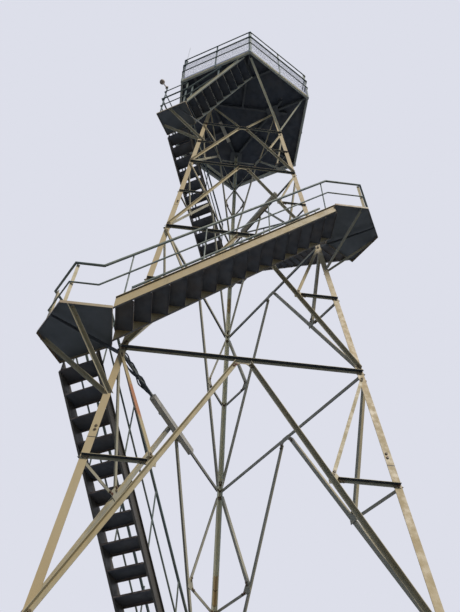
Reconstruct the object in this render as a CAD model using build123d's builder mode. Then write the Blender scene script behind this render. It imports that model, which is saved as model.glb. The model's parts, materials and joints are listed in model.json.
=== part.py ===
from build123d import *
import os
from math import atan, ceil, cos, hypot, pi, radians, sin, sqrt, tan

# Three-legged steel fire lookout tower with an outside stair and a hexagonal platform.
# Millimetres, +Z up.  The origin is on the tower's vertical axis at ground level.
# Azimuths are degrees counter-clockwise from +X; the front face of the tower looks along -Y.

os.makedirs("parts", exist_ok=True)

# Tower shape
base_width = 4450.0            # between two leg corners at ground level
taper = 0.1445                 # loss of that width for each unit of height
landing_heights = [4260.0, 8060.0, 11570.0, 14650.0, 17150.0]
platform_underside = 18830.0
FACES = {"front": 270.0, "right": 30.0, "left": 150.0}
CORNERS = {"west": 210.0, "east": 330.0, "north": 90.0}

# Legs: folded plates of 60 degrees, apex outwards, flanges in the two faces beside them
leg_flange = 90.0
leg_thickness = 8.0
splice_heights = [6250.0, 12290.0]
splice_length = 420.0
splice_thickness = 6.0
splice_edge = 12.0             # how far the cover plate stays back from the flange edge

# Base plates
base_plate_thickness = 20.0
base_plate_outer = 110.0       # beyond the leg corner
base_plate_inner = 165.0       # inside the leg corner
base_plate_half_width = 170.0
anchor_radius = 13.0
anchor_outer = 75.0            # beyond the leg corner
anchor_inner = 110.0           # inside the leg corner
anchor_side = 115.0

# Bracing of each face: bars bolted on the outer side of the leg flanges
gusset_thickness = 6.0
main_bar = 52.0
main_bar_thickness = 6.0
light_bar = 45.0
light_bar_thickness = 5.0
upper_main_bar = 45.0          # in the two highest full panels
upper_light_bar = 35.0
upper_panels_from = 3
foot_joint_height = 170.0      # where the lowest diagonals meet the legs
joint_stop = 95.0              # from a joint to a slanting bar's end, above or below the level bar
level_stop = 12.0              # from a leg corner to the end of a level bar
apex_spread = 60.0             # half the distance between the diagonals under the level bar
apex_stop = 60.0               # bar ends, measured along the bar
node_stop = 65.0
apex_gusset_top = 60.0
apex_gusset_reach = 130.0
apex_gusset_drop = 105.0
apex_gusset_notch = 55.0
node_gusset_reach = 115.0
node_gusset_back = 35.0

# Stair
stair_width = 575.0
stair_clearance = 100.0        # between a face and the stair beside it
wide_clearance = 253.0         # for the fifth flight, which swings out to the platform stair
end_clearance = 100.0          # from a leg corner to the end of a flight, along the face
riser_counts = [20, 17, 16, 14, 11, 9]
stringer_flange = 30.0
stringer_web = 6.0
stringer_flange_thickness = 6.0
nosing_margin = 12.0
tread_overlap = 20.0
tread_thickness = 4.0
tread_front_lip = 40.0
tread_back_lip = 25.0
last_flight_start = 732.0      # from the axis, against the direction of the last flight
last_flight_end = 746.0        # edge of the platform floor over the last flight
last_flight_inset = 55.0       # from the platform's edge

# Landings
landing_reach = 1010.0         # from the leg corner to the cut-off outer edge
landing_overhang = 25.0
landing_lip = 50.0
landing_plate = 5.0
landing_beam_depth = 70.0
landing_beam_thickness = 8.0
strut_bar = 50.0
strut_bar_thickness = 5.0
strut_drop = 860.0
strut_inset = 110.0
top_strut_inset = 320.0
top_strut_drop = 1050.0
strut_seat = 50.0              # from the leg corner along the flange
strut_edge = 25.0              # strut axis, back from the landing's edge
strut_spare = 150.0            # length trimmed off at each end
beam_tip_back = 10.0
beam_tip_depth = 40.0

# Railings
rail_height = 890.0
mid_rail_height = 450.0
upper_rail_height = 1050.0     # on the highest landing and the last flight
upper_mid_rail_height = 560.0
top_guard_height = 1600.0      # third rail of the highest landing
tall_post_height = 1950.0      # its corner post, which carries the lamp
last_rail_slope = 0.66         # the last flight's rails are flatter than its stringers
stringer_spare = 60.0          # over the stringer, where such a rail ends
low_bend = 260.0               # where a flight's rails leave the level, before its start
high_bend = 80.0               # and where they meet it again, before its end
post_spacing = 1150.0
post_end = 90.0
rail_radius = 20.0
mid_rail_radius = 13.0
post_width = 45.0
post_thickness = 10.0
post_bar = 45.0
post_bar_thickness = 5.0
weld_gap = 0.3
rail_sides = 12

# Fittings
lamp_radius = 73.0
lamp_steps = 12
lamp_offset = (-168.0, 0.0, 431.0)        # from the top of its post
lamp_stem_radius = 15.0
antenna_radius = 8.0
antenna_length = 1250.0
antenna_base = (70.0, 60.0, 150.0)
cable_box_size = (1250.0, 80.0, 80.0)
cable_box_strap = (40.0, 12.0)            # thicker than the gussets, which the boxes pass behind
cable_boxes = [(150.0, 8060.0, 144.0, 100.0), (30.0, 14650.0, 74.0, 0.0)]   # face, height, place, drop
deck_lamp_size = (615.0, 90.0, 60.0)
deck_lamp_face = 150.0

# Platform
platform_radius = 1980.0       # corner radius of the hexagon
edge_depth = 120.0
edge_flange = 50.0
edge_thickness = 6.0
deck_thickness = 6.0
beam_width = 50.0
beam_web = 6.0
head_plate_thickness = 12.0
head_plate_size = 320.0
head_joint_drop = 190.0        # where the highest diagonals meet the legs, under the platform
top_strut_radius = 1780.0      # where the platform's struts end
hatch_start = 625.0            # from the axis, against the direction of the last flight
hatch_clearance = 5.0
plate_gap = 0.3
guard_heights = [780.0, 1320.0, 1800.0]   # over the underside of the platform
guard_radii = [13.0, 20.0, 16.0]
guard_post_leg = 50.0
guard_post_height = 1815.0
rim_seam = 25.0                # between hatch and platform edge, on the middle of the edge's flange
ring_stop = 60.0               # how far the three beams over the legs stay apart at their ends
strut_stagger = 50.0           # two struts that meet under one beam end this far before and beyond
platform_strut_rise = 110.0    # foot of the struts on the flanges, over the level bars
corner_strut_lift = 160.0      # foot of the strut on a leg's corner, over those on its flanges
kick_plate_height = 100.0
kick_plate_thickness = 5.0


def width_at(z):
    """Distance between two leg corners at a height."""
    return base_width - taper * z


def face_distance(z):
    """Distance from the axis to a face at a height."""
    return width_at(z) / (2 * sqrt(3))


def corner_radius(z):
    """Distance from the axis to a leg corner at a height."""
    return width_at(z) / sqrt(3)


def polar(azimuth, radius, z=0.0):
    """Point at an azimuth and a radius."""
    return Vector(radius * cos(radians(azimuth)), radius * sin(radians(azimuth)), z)


def meet(azimuth_a, distance_a, azimuth_b, distance_b):
    """Plan point where two upright planes meet, each given by its normal and distance."""
    a, b = radians(azimuth_a), radians(azimuth_b)
    det = cos(a) * sin(b) - sin(a) * cos(b)
    x = (distance_a * sin(b) - distance_b * sin(a)) / det
    y = (distance_b * cos(a) - distance_a * cos(b)) / det
    return (x, y)


def upright_plane(azimuth, distance):
    """Upright plane facing an azimuth: local x runs counter-clockwise, local y is height."""
    direction = polar(azimuth, 1)
    return Plane(origin=direction * distance, x_dir=polar(azimuth + 90, 1), z_dir=direction)


face_lean = atan(taper / (2 * sqrt(3)))


def face_plane(azimuth, depth=0.0):
    """Leaning plane of a tower face, moved inwards by a depth."""
    out = polar(azimuth, cos(face_lean), sin(face_lean))
    origin = polar(azimuth, face_distance(0)) - out * depth
    return Plane(origin=origin, x_dir=polar(azimuth + 90, 1), z_dir=out)


def up_face(z):
    """Distance measured up a leaning face to reach a height."""
    return z / cos(face_lean)


def angle_profile(width, thickness, side):
    """Outline of an equal angle: one flange across the bar, the other standing on one edge."""
    half = width / 2
    return [
        (-side * half, 0),
        (side * half, 0),
        (side * half, width),
        (side * (half - thickness), width),
        (side * (half - thickness), thickness),
        (-side * half, thickness),
    ]


def angle_bar(start, end, standing, width, thickness, side):
    """Straight angle bar from start to end, its second flange standing towards a direction."""
    along = (end - start).normalized()
    across = standing.cross(along)
    section = Plane(origin=start, x_dir=across, z_dir=along)
    with BuildPart() as bar:
        with BuildSketch(section):
            Polygon(*angle_profile(width, thickness, side), align=None)
        extrude(amount=(end - start).length)
    return bar.part


def face_bar(azimuth, start, end, cut_start, cut_end, width, thickness, flange_left=False):
    """Angle bar outside the leg flanges, its standing flange outwards on the upper or left edge."""
    plane = face_plane(azimuth)
    run = hypot(end[0] - start[0], end[1] - start[1])
    unit = ((end[0] - start[0]) / run, (end[1] - start[1]) / run)
    first = (start[0] + unit[0] * cut_start, start[1] + unit[1] * cut_start)
    last = (end[0] - unit[0] * cut_end, end[1] - unit[1] * cut_end)
    lead = unit[1] if flange_left else unit[0]
    return angle_bar(
        plane.from_local_coords((*first, 0)),
        plane.from_local_coords((*last, 0)),
        plane.z_dir, width, thickness, 1 if lead > 0 else -1,
    )


def face_plate(azimuth, points):
    """Flat gusset behind the bars of a face."""
    with BuildPart() as plate:
        with BuildSketch(face_plane(azimuth)):
            Polygon(*points, align=None)
        extrude(amount=-gusset_thickness)
    return plate.part


def save(node, name):
    """Label a finished node and write it."""
    node.part.label = name
    export_step(node.part, "parts/" + name + ".step")


panel_heights = [foot_joint_height] + landing_heights


def panel_sizes(panel):
    """Width and thickness of the main and the light bars of a panel."""
    if panel >= upper_panels_from:
        return upper_main_bar, light_bar_thickness, upper_light_bar, light_bar_thickness
    return main_bar, main_bar_thickness, light_bar, light_bar_thickness


# Legs
leg_direction = {
    name: Vector(0, 0, 1) - polar(azimuth, taper / sqrt(3))
    for name, azimuth in CORNERS.items()
}


def vee_profile(flange, thickness, inset=0.0):
    """Outline of a 60 degree vee, apex at the origin or inset from it, opening along +X."""
    along = [Vector(cos(radians(side * 30)), sin(radians(side * 30))) for side in (1, -1)]
    inner = [Vector(sin(radians(30)), -side * cos(radians(30))) for side in (1, -1)]
    apex = Vector(inset / sin(radians(30)), 0)
    inner_apex = Vector((inset + thickness) / sin(radians(30)), 0)
    outer_ends = [along[i] * flange + inner[i] * inset for i in (0, 1)]
    inner_ends = [along[i] * flange + inner[i] * (inset + thickness) for i in (0, 1)]
    points = [apex, outer_ends[0], inner_ends[0], inner_apex, inner_ends[1], outer_ends[1]]
    return [(p.X, p.Y) for p in points]


def leg_section(name, z):
    """Level plane at a leg corner, with local x pointing to the axis."""
    azimuth = CORNERS[name]
    return Plane(origin=polar(azimuth, corner_radius(z), z), x_dir=polar(azimuth + 180, 1), z_dir=(0, 0, 1))


def vee_length(name, z_from, z_to):
    """Slanting length of a leg between two heights."""
    return (z_to - z_from) * leg_direction[name].length


for name in CORNERS:
    with BuildPart() as leg:
        with BuildSketch(leg_section(name, base_plate_thickness)):
            Polygon(*vee_profile(leg_flange, leg_thickness), align=None)
        extrude(
            amount=vee_length(name, base_plate_thickness, platform_underside - head_plate_thickness),
            dir=leg_direction[name].normalized(),
        )
    save(leg, "leg_" + name)

# Cover plates inside the legs
with BuildPart() as leg_splices:
    for name in CORNERS:
        for z in splice_heights:
            with BuildSketch(leg_section(name, z)):
                Polygon(*vee_profile(leg_flange - splice_edge, splice_thickness, leg_thickness), align=None)
            extrude(amount=splice_length, dir=leg_direction[name].normalized())
save(leg_splices, "leg_splices")

# Base plates with three anchor holes each
with BuildPart() as base_plates:
    for name, azimuth in CORNERS.items():
        foot = Plane(origin=polar(azimuth, corner_radius(0)), x_dir=polar(azimuth, 1), z_dir=(0, 0, 1))
        with BuildSketch(foot):
            with Locations(((base_plate_outer - base_plate_inner) / 2, 0)):
                Rectangle(base_plate_outer + base_plate_inner, 2 * base_plate_half_width)
            with Locations((anchor_outer, 0), (-anchor_inner, anchor_side), (-anchor_inner, -anchor_side)):
                Circle(anchor_radius, mode=Mode.SUBTRACT)
        extrude(amount=base_plate_thickness)
save(base_plates, "base_plates")

# Bracing: in every panel a level bar at its top, an inverted vee and four light bars
head_height = platform_underside - head_joint_drop
for face, azimuth in FACES.items():
    bars = []
    gussets = []
    for panel in range(len(landing_heights)):
        low, high = panel_heights[panel], panel_heights[panel + 1]
        middle = (low + high) / 2
        main, main_t, light, light_t = panel_sizes(panel)
        top = up_face(high)
        for side in (-1, 1):
            foot = (side * width_at(low) / 2, up_face(low))
            shoulder = (side * width_at(high) / 2, top)
            apex = (side * apex_spread, top)
            node = ((foot[0] + apex[0]) / 2, (foot[1] + apex[1]) / 2)
            mid_leg = (side * width_at(middle) / 2, up_face(middle))
            bars.append(face_bar(azimuth, foot, apex, joint_stop, apex_stop, main, main_t))
            bars.append(face_bar(azimuth, mid_leg, node, level_stop, node_stop, light, light_t))
            bars.append(face_bar(azimuth, node, shoulder, node_stop, joint_stop, light, light_t, True))
            if high == landing_heights[-1]:
                head = (side * width_at(head_height) / 2, up_face(head_height))
                bars.append(face_bar(azimuth, apex, head, apex_stop, joint_stop, light, light_t))
            reach, back = side * node_gusset_reach, side * node_gusset_back
            gussets.append(face_plate(azimuth, [
                (node[0] - back, node[1] - light),
                (node[0] + reach, node[1] - light / 2),
                (node[0] + reach, node[1] + light / 2),
                (node[0] + reach / 2, node[1] + node_gusset_reach),
                (node[0], node[1] + node_gusset_reach),
                (node[0] - back, node[1] + light / 2),
            ]))
        left = (-width_at(high) / 2, top)
        right = (width_at(high) / 2, top)
        bars.append(face_bar(azimuth, left, right, level_stop, level_stop, main, main_t))
        crown = [(-apex_gusset_top, top + main / 2), (apex_gusset_top, top + main / 2)]
        if high == landing_heights[-1]:
            crown = [
                (-apex_gusset_reach, top + apex_gusset_drop * 2 / 3),
                (-apex_gusset_top, top + apex_gusset_drop),
                (apex_gusset_top, top + apex_gusset_drop),
                (apex_gusset_reach, top + apex_gusset_drop * 2 / 3),
            ]
        gussets.append(face_plate(azimuth, crown + [
            (apex_gusset_reach, top - apex_gusset_drop * 2 / 3),
            (apex_gusset_reach * 3 / 4, top - apex_gusset_drop),
            (apex_gusset_top * 2 / 3, top - apex_gusset_notch),
            (-apex_gusset_top * 2 / 3, top - apex_gusset_notch),
            (-apex_gusset_reach * 3 / 4, top - apex_gusset_drop),
            (-apex_gusset_reach, top - apex_gusset_drop * 2 / 3),
        ]))
    with BuildPart() as bracing:
        add(bars)
    save(bracing, face + "_bracing")
    with BuildPart() as plates:
        add(gussets)
    save(plates, face + "_gussets")


# Stair: six flights, each beside one face and climbing counter-clockwise
RAILS = [(rail_height, rail_radius), (mid_rail_height, mid_rail_radius)]
UPPER_RAILS = [(upper_rail_height, rail_radius), (upper_mid_rail_height, mid_rail_radius)]
levels = [0.0] + landing_heights + [platform_underside + edge_depth + deck_thickness]
platform_inradius = platform_radius * cos(radians(30))


class Flight:
    """Place and slope of one flight between two levels."""

    def __init__(self, index):
        self.azimuth = (30.0, 150.0, 270.0)[index % 3]
        self.low = levels[index]
        self.high = levels[index + 1]
        self.steps = riser_counts[index]
        self.start = -(width_at(self.low) / 2 + end_clearance)
        self.end = width_at(self.high) / 2 + end_clearance
        self.inner = face_distance(self.low) + stair_clearance
        if index == 4:
            self.inner = face_distance(self.low) + wide_clearance
            self.end = platform_inradius - last_flight_inset - stair_width
        if index == 5:
            self.azimuth = 240.0
            self.start = -last_flight_start
            self.end = last_flight_end
            self.inner = platform_inradius - last_flight_inset - stair_width
        self.outer = self.inner + stair_width
        self.stringer_end = self.end + (beam_width if index == 5 else 0)
        self.last = index == 5
        self.ceiling = platform_underside if self.last else self.high + rail_height * 2
        self.rise = (self.high - self.low) / self.steps
        self.going = (self.end - self.start) / (self.steps - 1)
        self.rails = UPPER_RAILS if self.last else RAILS
        self.bend = self.start if self.last else self.start - low_bend

    def top_edge(self, s):
        """Height of the stringers' upper edge at a place along the flight."""
        return self.low + self.rise + nosing_margin + (s - self.start) * self.rise / self.going

    def bottom_edge(self, s):
        """Height of the stringers' lower edge at a place along the flight."""
        return self.low + (s - self.start) * self.rise / self.going

    def band(self, lower, upper):
        """Outline between two edges given as heights over the lower edge of the stringer."""
        first, last = self.bottom_edge(self.start), self.bottom_edge(self.stringer_end)
        return [
            (self.start, first + lower),
            (self.stringer_end, last + lower),
            (self.stringer_end, last + upper),
            (self.start, first + upper),
        ]

    def rail_foot(self, height):
        """Low bend of a rail, as place and height."""
        return self.bend, self.low + height

    def rail_slope(self):
        """Rise of the rails for each unit along the flight."""
        if self.last:
            return last_rail_slope
        return (self.high - self.low) / (self.end - high_bend - self.bend)

    def rail_top(self, height):
        """High bend of a rail, or where it ends under a ceiling."""
        place = self.end - high_bend
        room = self.ceiling - rail_radius * 2 - self.low - height
        place = min(place, self.bend + room / self.rail_slope())
        if self.last:
            over = self.low + height - stringer_spare - self.top_edge(self.start)
            place = min(place, self.start + over / (self.rise / self.going - last_rail_slope))
        return place, self.rail_at(place, height)

    def rail_at(self, s, height):
        """Height of a rail's middle at a place along the flight."""
        return self.low + height + (s - self.bend) * self.rail_slope()


flights = [Flight(index) for index in range(6)]

for number, flight in enumerate(flights, start=1):
    upright_depth = flight.rise + nosing_margin
    upright_flange = stringer_flange_thickness / cos(atan(flight.rise / flight.going))
    with BuildPart() as stringers:
        webs = [(flight.inner + stringer_flange, -1), (flight.outer - stringer_flange, 1)]
        for distance, web_side in webs:
            plane = upright_plane(flight.azimuth, distance)
            with BuildSketch(plane):
                Polygon(*flight.band(0, upright_depth), align=None)
            extrude(amount=web_side * stringer_web)
            with BuildSketch(plane):
                Polygon(*flight.band(0, upright_flange), align=None)
                Polygon(*flight.band(upright_depth - upright_flange, upright_depth), align=None)
            extrude(amount=web_side * stringer_flange)
        split(bisect_by=Plane.XY.offset(flight.ceiling), keep=Keep.BOTTOM)
    save(stringers, f"flight_{number}_stringers")

    with BuildPart() as treads:
        with BuildSketch(upright_plane(flight.azimuth, flight.inner + stringer_flange)):
            for step in range(1, flight.steps):
                nose = flight.start + (step - 1) * flight.going
                back = nose + flight.going + tread_overlap
                top = flight.low + step * flight.rise
                Polygon(
                    (nose, top),
                    (nose, top - tread_front_lip),
                    (nose + tread_thickness, top - tread_front_lip),
                    (nose + tread_thickness, top - tread_thickness),
                    (back - tread_thickness, top - tread_thickness),
                    (back - tread_thickness, top - tread_back_lip),
                    (back, top - tread_back_lip),
                    (back, top),
                    align=None,
                )
        extrude(amount=stair_width - 2 * stringer_flange)
    save(treads, f"flight_{number}_treads")


# Landings: folded trays at the corners, on a beam from the leg and two struts
class Landing:
    """Outline of one landing between an arriving and a leaving flight."""

    def __init__(self, index):
        arriving, leaving = flights[index], flights[index + 1]
        self.z = arriving.high
        self.corner = arriving.azimuth + 60
        self.side_out = (arriving.azimuth, arriving.outer + landing_overhang)
        self.front_out = (leaving.azimuth, leaving.outer + landing_overhang)
        self.arrival = (arriving.azimuth + 90, arriving.end)
        self.departure = (leaving.azimuth - 90, -leaving.start)
        self.cut = (self.corner, corner_radius(self.z) + landing_reach)
        self.square = index == 4

    def outline(self, inset=0.0):
        """Corner points, counter-clockwise from the leaving flight's outer end."""
        def line(edge):
            return edge[0], edge[1] - inset

        def inner(edge):
            return edge[0], edge[1] + inset

        points = [
            meet(*line(self.front_out), *inner(self.departure)),
            meet(*inner(self.departure), *inner(self.arrival)),
            meet(*inner(self.arrival), *line(self.side_out)),
        ]
        if self.square:
            return points + [meet(*line(self.side_out), *line(self.front_out))]
        return points + [
            meet(*line(self.side_out), *line(self.cut)),
            meet(*line(self.cut), *line(self.front_out)),
        ]


landings = [Landing(index) for index in range(5)]

for number, landing in enumerate(landings, start=1):
    with BuildPart() as tray:
        with BuildSketch(Plane.XY.offset(landing.z)):
            Polygon(*landing.outline(), align=None)
        extrude(amount=-landing_lip)
        with BuildSketch(Plane.XY.offset(landing.z - landing_lip)):
            Polygon(*landing.outline(landing_plate), align=None)
        extrude(amount=landing_lip - landing_plate, mode=Mode.SUBTRACT)
    save(tray, f"landing_{number}")


def corner_plane(azimuth, gap):
    """Plane along a leg corner, square to its bisector and moved outwards by a gap."""
    lean = atan(taper / sqrt(3))
    out = polar(azimuth, cos(lean), sin(lean))
    return Plane(origin=polar(azimuth, corner_radius(0)) + out * gap, z_dir=out)


def strut(top, foot, ceiling, seat):
    """Angle strut from under a ceiling height down to a seat plane on a leg."""
    along = (foot - top).normalized()
    inward = along.cross(Vector(0, 0, 1)).normalized()
    spare = along * strut_spare
    bar = angle_bar(top - spare, foot + spare, inward, strut_bar, strut_bar_thickness, 1)
    with BuildPart() as trimmed:
        add(bar)
        split(bisect_by=Plane.XY.offset(ceiling), keep=Keep.BOTTOM)
        split(bisect_by=seat, keep=Keep.TOP)
    return trimmed.part


def leg_side(corner, side, z):
    """Point on the outer surface of a leg flange, and the plane of that surface."""
    azimuth = corner + side * 60
    s = -side * (width_at(z) / 2 - strut_seat)
    point = face_plane(azimuth).from_local_coords((s, up_face(z), 0))
    return point, face_plane(azimuth, -weld_gap)


def towards(start, end, distance):
    """Plan point at a distance from start on the way to end."""
    run = hypot(end[0] - start[0], end[1] - start[1])
    share = distance / run
    return start[0] + (end[0] - start[0]) * share, start[1] + (end[1] - start[1]) * share


# Beams and struts of the landings
beam_blanks = []
landing_struts = []
for landing in landings:
    under = landing.z - landing_lip
    edges = [landing.side_out, landing.front_out] + ([] if landing.square else [landing.cut])
    reach = [distance / cos(radians(azimuth - landing.corner)) for azimuth, distance in edges]
    tip = min(reach) - beam_tip_back
    deep = under - landing_beam_depth
    side_view = Plane(origin=(0, 0, 0), x_dir=polar(landing.corner, 1), z_dir=polar(landing.corner - 90, 1))
    with BuildPart() as beam:
        with BuildSketch(side_view):
            Polygon(
                (corner_radius(under) + weld_gap, under),
                (corner_radius(deep) + weld_gap, deep),
                (tip, under - beam_tip_depth),
                (tip, under),
                align=None,
            )
        extrude(amount=landing_beam_thickness / 2, both=True)
    beam_blanks.append(beam.part)

    drop, inset = (top_strut_drop, top_strut_inset) if landing.square else (strut_drop, strut_inset)
    outline = landing.outline(strut_edge)
    first, last = outline[-1], outline[3]
    for corner_point, toward, side in ((first, outline[0], 1), (last, outline[2], -1)):
        x, y = towards(corner_point, toward, inset)
        foot, seat = leg_side(landing.corner, side, landing.z - drop)
        landing_struts.append(strut(Vector(x, y, under), foot, under, seat))

with BuildPart() as landing_beams:
    add(beam_blanks)
save(landing_beams, "landing_beams")
with BuildPart() as landing_braces:
    add(landing_struts)
save(landing_braces, "landing_struts")


# Railings: tubes with mitred corners, on posts that stand inside them
def rail_run(points, radius, joined_before, joined_after):
    """Separate round tubes along a chain of points, mitred with a weld gap where they meet.

    Where a run joins another one, its chain also holds the next point of that run.
    """
    tubes = []
    first_tube = 1 if joined_before else 0
    last_tube = len(points) - (3 if joined_after else 2)
    for i in range(first_tube, last_tube + 1):
        start, end = points[i], points[i + 1]
        along = (end - start).normalized()
        first, last = start, end
        cuts = []
        if i > 0:
            before = (start - points[i - 1]).normalized()
            cuts.append(Plane(origin=start + along * weld_gap / 2, z_dir=before + along))
            first = start - along * radius
        if i < len(points) - 2:
            after = (points[i + 2] - end).normalized()
            cuts.append(Plane(origin=end - along * weld_gap / 2, z_dir=(after + along) * -1))
            last = end + along * radius
        with BuildPart() as tube:
            with BuildSketch(Plane(origin=first, z_dir=along)):
                RegularPolygon(radius, rail_sides)
            extrude(amount=(last - first).length)
            for cut in cuts:
                split(bisect_by=cut, keep=Keep.TOP)
        tubes.append(tube.part)
    return tubes


def corner_post(x, y, azimuth, foot, head):
    """Upright angle post with its edge outwards."""
    reach = post_bar / sqrt(2)
    wall = post_bar_thickness * sqrt(2)
    section = Plane(origin=(x, y, foot), x_dir=polar(azimuth, 1), z_dir=(0, 0, 1))
    with BuildPart() as post:
        with BuildSketch(section):
            Polygon(
                (0, 0), (-reach, reach), (-reach - wall / 2, reach - wall / 2),
                (-wall, 0), (-reach - wall / 2, wall / 2 - reach), (-reach, -reach),
                align=None,
            )
        extrude(amount=head - foot)
    return post.part


def flat_post(azimuth, distance, s, foot_left, foot_right, head_left, head_right):
    """Flat upright bar facing an azimuth, its feet and heads following slopes."""
    half = post_width / 2
    with BuildPart() as post:
        with BuildSketch(upright_plane(azimuth, distance)):
            Polygon(
                (s - half, foot_left), (s + half, foot_right),
                (s + half, head_right), (s - half, head_left), align=None,
            )
        extrude(amount=post_thickness)
    return post.part


post_back = rail_radius + weld_gap

for number, flight in enumerate(flights, start=1):
    posts = []
    half = post_width / 2
    first = flight.start + post_end
    hand_height = flight.rails[0][0]
    last = min(flight.end, flight.rail_top(hand_height)[0]) - post_end
    spaces = ceil((last - first) / post_spacing)
    for i in range(spaces + 1):
        s = first + (last - first) * i / spaces
        head = [flight.rail_at(s + offset, hand_height) for offset in (-half, half)]
        foot = [flight.top_edge(s + offset) for offset in (-half, half)]
        posts.append(flat_post(flight.azimuth, flight.outer - post_back - post_thickness, s, *foot, *head))
    rails = []
    joined_before, joined_after = number > 1, number < len(flights)
    for height, radius in flight.rails:
        plane = upright_plane(flight.azimuth, flight.outer - rail_radius + radius)
        side_view = [flight.rail_foot(height), flight.rail_top(height)]
        if joined_before:
            side_view.insert(0, (side_view[0][0] - low_bend, side_view[0][1]))
        if joined_after:
            side_view.append((side_view[-1][0] + high_bend, side_view[-1][1]))
        chain = [plane.from_local_coords((*point, 0)) for point in side_view]
        rails += rail_run(chain, radius, joined_before, joined_after)
    with BuildPart() as railing:
        add(posts + rails)
    save(railing, f"flight_{number}_railing")

for number, landing in enumerate(landings, start=1):
    arriving, leaving = flights[number - 1], flights[number]
    edges = [(arriving.azimuth, arriving.outer), (leaving.azimuth, leaving.outer)]
    if not landing.square:
        edges.insert(1, (landing.cut[0], landing.cut[1] - landing_overhang))
    pieces = []

    def rail_lines(radius):
        """Azimuths and distances of a rail's middle along the landing's edges."""
        return [(azimuth, distance - rail_radius + radius) for azimuth, distance in edges]

    def rail_corners(radius, height):
        """Points where a rail turns at the landing's corners."""
        lines = rail_lines(radius)
        corners = [meet(*lines[i], *lines[i + 1]) for i in range(len(lines) - 1)]
        return [Vector(x, y, landing.z + height) for x, y in corners]

    for (before, radius), (height, _) in zip(arriving.rails, leaving.rails):
        lines = rail_lines(radius)
        arriving_plane, leaving_plane = upright_plane(*lines[0]), upright_plane(*lines[-1])
        arrival = [arriving.rail_foot(before), arriving.rail_top(before)]
        if height != before:
            arrival.append((arrival[-1][0] + high_bend, arrival[-1][1]))
        chain = [
            *[arriving_plane.from_local_coords((*point, 0)) for point in arrival],
            *rail_corners(radius, height),
            leaving_plane.from_local_coords((*leaving.rail_foot(height), 0)),
            leaving_plane.from_local_coords((*leaving.rail_top(height), 0)),
        ]
        pieces += rail_run(chain, radius, True, True)
    ends = [(edges[0], arriving.end + post_end), (edges[-1], leaving.start - post_end)]
    post_height, corner_height = rail_height, rail_height
    if landing.square:
        post_height, corner_height = top_guard_height, tall_post_height
        lines = rail_lines(mid_rail_radius)
        guard_ends = [
            upright_plane(*line).from_local_coords((s, landing.z + top_guard_height, 0))
            for line, (_, s) in zip(lines, ends)
        ]
        chain = [guard_ends[0], *rail_corners(mid_rail_radius, top_guard_height), guard_ends[1]]
        pieces += rail_run(chain, mid_rail_radius, False, False)
    for i in range(len(edges) - 1):
        (a, distance_a), (b, distance_b) = edges[i], edges[i + 1]
        x, y = meet(a, distance_a - post_back, b, distance_b - post_back)
        middle = a + (b - a) % 360 / 2
        pieces.append(corner_post(x, y, middle, landing.z, landing.z + corner_height))
    level = [landing.z, landing.z, landing.z + post_height, landing.z + post_height]
    for (azimuth, distance), s in ends:
        pieces.append(flat_post(azimuth, distance - post_back - post_thickness, s, *level))
    with BuildPart() as landing_railing:
        add(pieces)
    save(landing_railing, f"landing_{number}_railing")


# Platform: head plates on the legs, beams, edge channels, floor plates and hatch
SIDES = [60.0 * k for k in range(6)]
hatch_inner = flights[5].inner - hatch_clearance
deck_underside = platform_underside + edge_depth
floor = deck_underside + deck_thickness

with BuildPart() as head_plates:
    for name, azimuth in CORNERS.items():
        z = platform_underside - head_plate_thickness
        radius = corner_radius(z) - leg_flange * cos(radians(30)) / 2
        top = Plane(origin=polar(azimuth, radius, z), x_dir=polar(azimuth, 1), z_dir=(0, 0, 1))
        with BuildSketch(top):
            Rectangle(head_plate_size, head_plate_size)
        extrude(amount=head_plate_thickness)
save(head_plates, "head_plates")


def floor_beam(azimuth, start, end, offset=0.0):
    """Channel beam under the floor, running along an azimuth at a sideways offset."""
    origin = polar(azimuth, start, platform_underside) + polar(azimuth + 90, offset)
    section = Plane(origin=origin, x_dir=polar(azimuth + 90, 1), z_dir=polar(azimuth, 1))
    half = beam_width / 2
    with BuildPart() as beam:
        with BuildSketch(section):
            Polygon(
                (-half, 0), (half, 0), (half, beam_web), (beam_web - half, beam_web),
                (beam_web - half, edge_depth - beam_web), (half, edge_depth - beam_web),
                (half, edge_depth), (-half, edge_depth), align=None,
            )
        extrude(amount=end - start)
    return beam.part


def edge_strip(azimuth, outer, inner, low, high):
    """Straight piece along one side of the hexagon, mitred at both corners."""
    mitre = -plate_gap / 2
    points = [
        meet(azimuth, outer, azimuth - 120, mitre),
        meet(azimuth, outer, azimuth + 120, mitre),
        meet(azimuth, inner, azimuth + 120, mitre),
        meet(azimuth, inner, azimuth - 120, mitre),
    ]
    with BuildPart() as strip:
        with BuildSketch(Plane.XY.offset(low)):
            Polygon(*points, align=None)
        extrude(amount=high - low)
    return strip.part


# Beams: three along the faces over the legs, radial ones to the corners, and a frame round the hatch
ring_line = face_distance(platform_underside)
half_beam = beam_width / 2
edge_line = platform_inradius - edge_flange - plate_gap
trimmer = hatch_inner - half_beam
header = flights[5].end + half_beam
tan30, cos30 = tan(radians(30)), cos(radians(30))
beam_reach = (edge_line - half_beam / 2) / cos30
ring_reach = (ring_line - beam_width) / tan30 * 2 - ring_line * tan30 - ring_stop
front_reach = (trimmer - half_beam - plate_gap - half_beam / 2) / cos30
beams = []
for azimuth in FACES.values():
    beams.append(floor_beam(azimuth + 90, -ring_reach, ring_reach, half_beam - ring_line))
    beams.append(floor_beam(azimuth, ring_line + plate_gap, front_reach if azimuth == 270.0 else beam_reach))
for azimuth in CORNERS.values():
    beams.append(floor_beam(azimuth, 2 * ring_line - 2 * beam_width, beam_reach))
stub_start = (header + half_beam + plate_gap + half_beam * cos30) * 2
beams.append(floor_beam(270.0, stub_start, beam_reach))
trimmer_start = (half_beam + plate_gap) / cos30 - (trimmer - half_beam) * tan30
trimmer_end = (edge_line - hatch_inner / 2) / cos30
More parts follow.
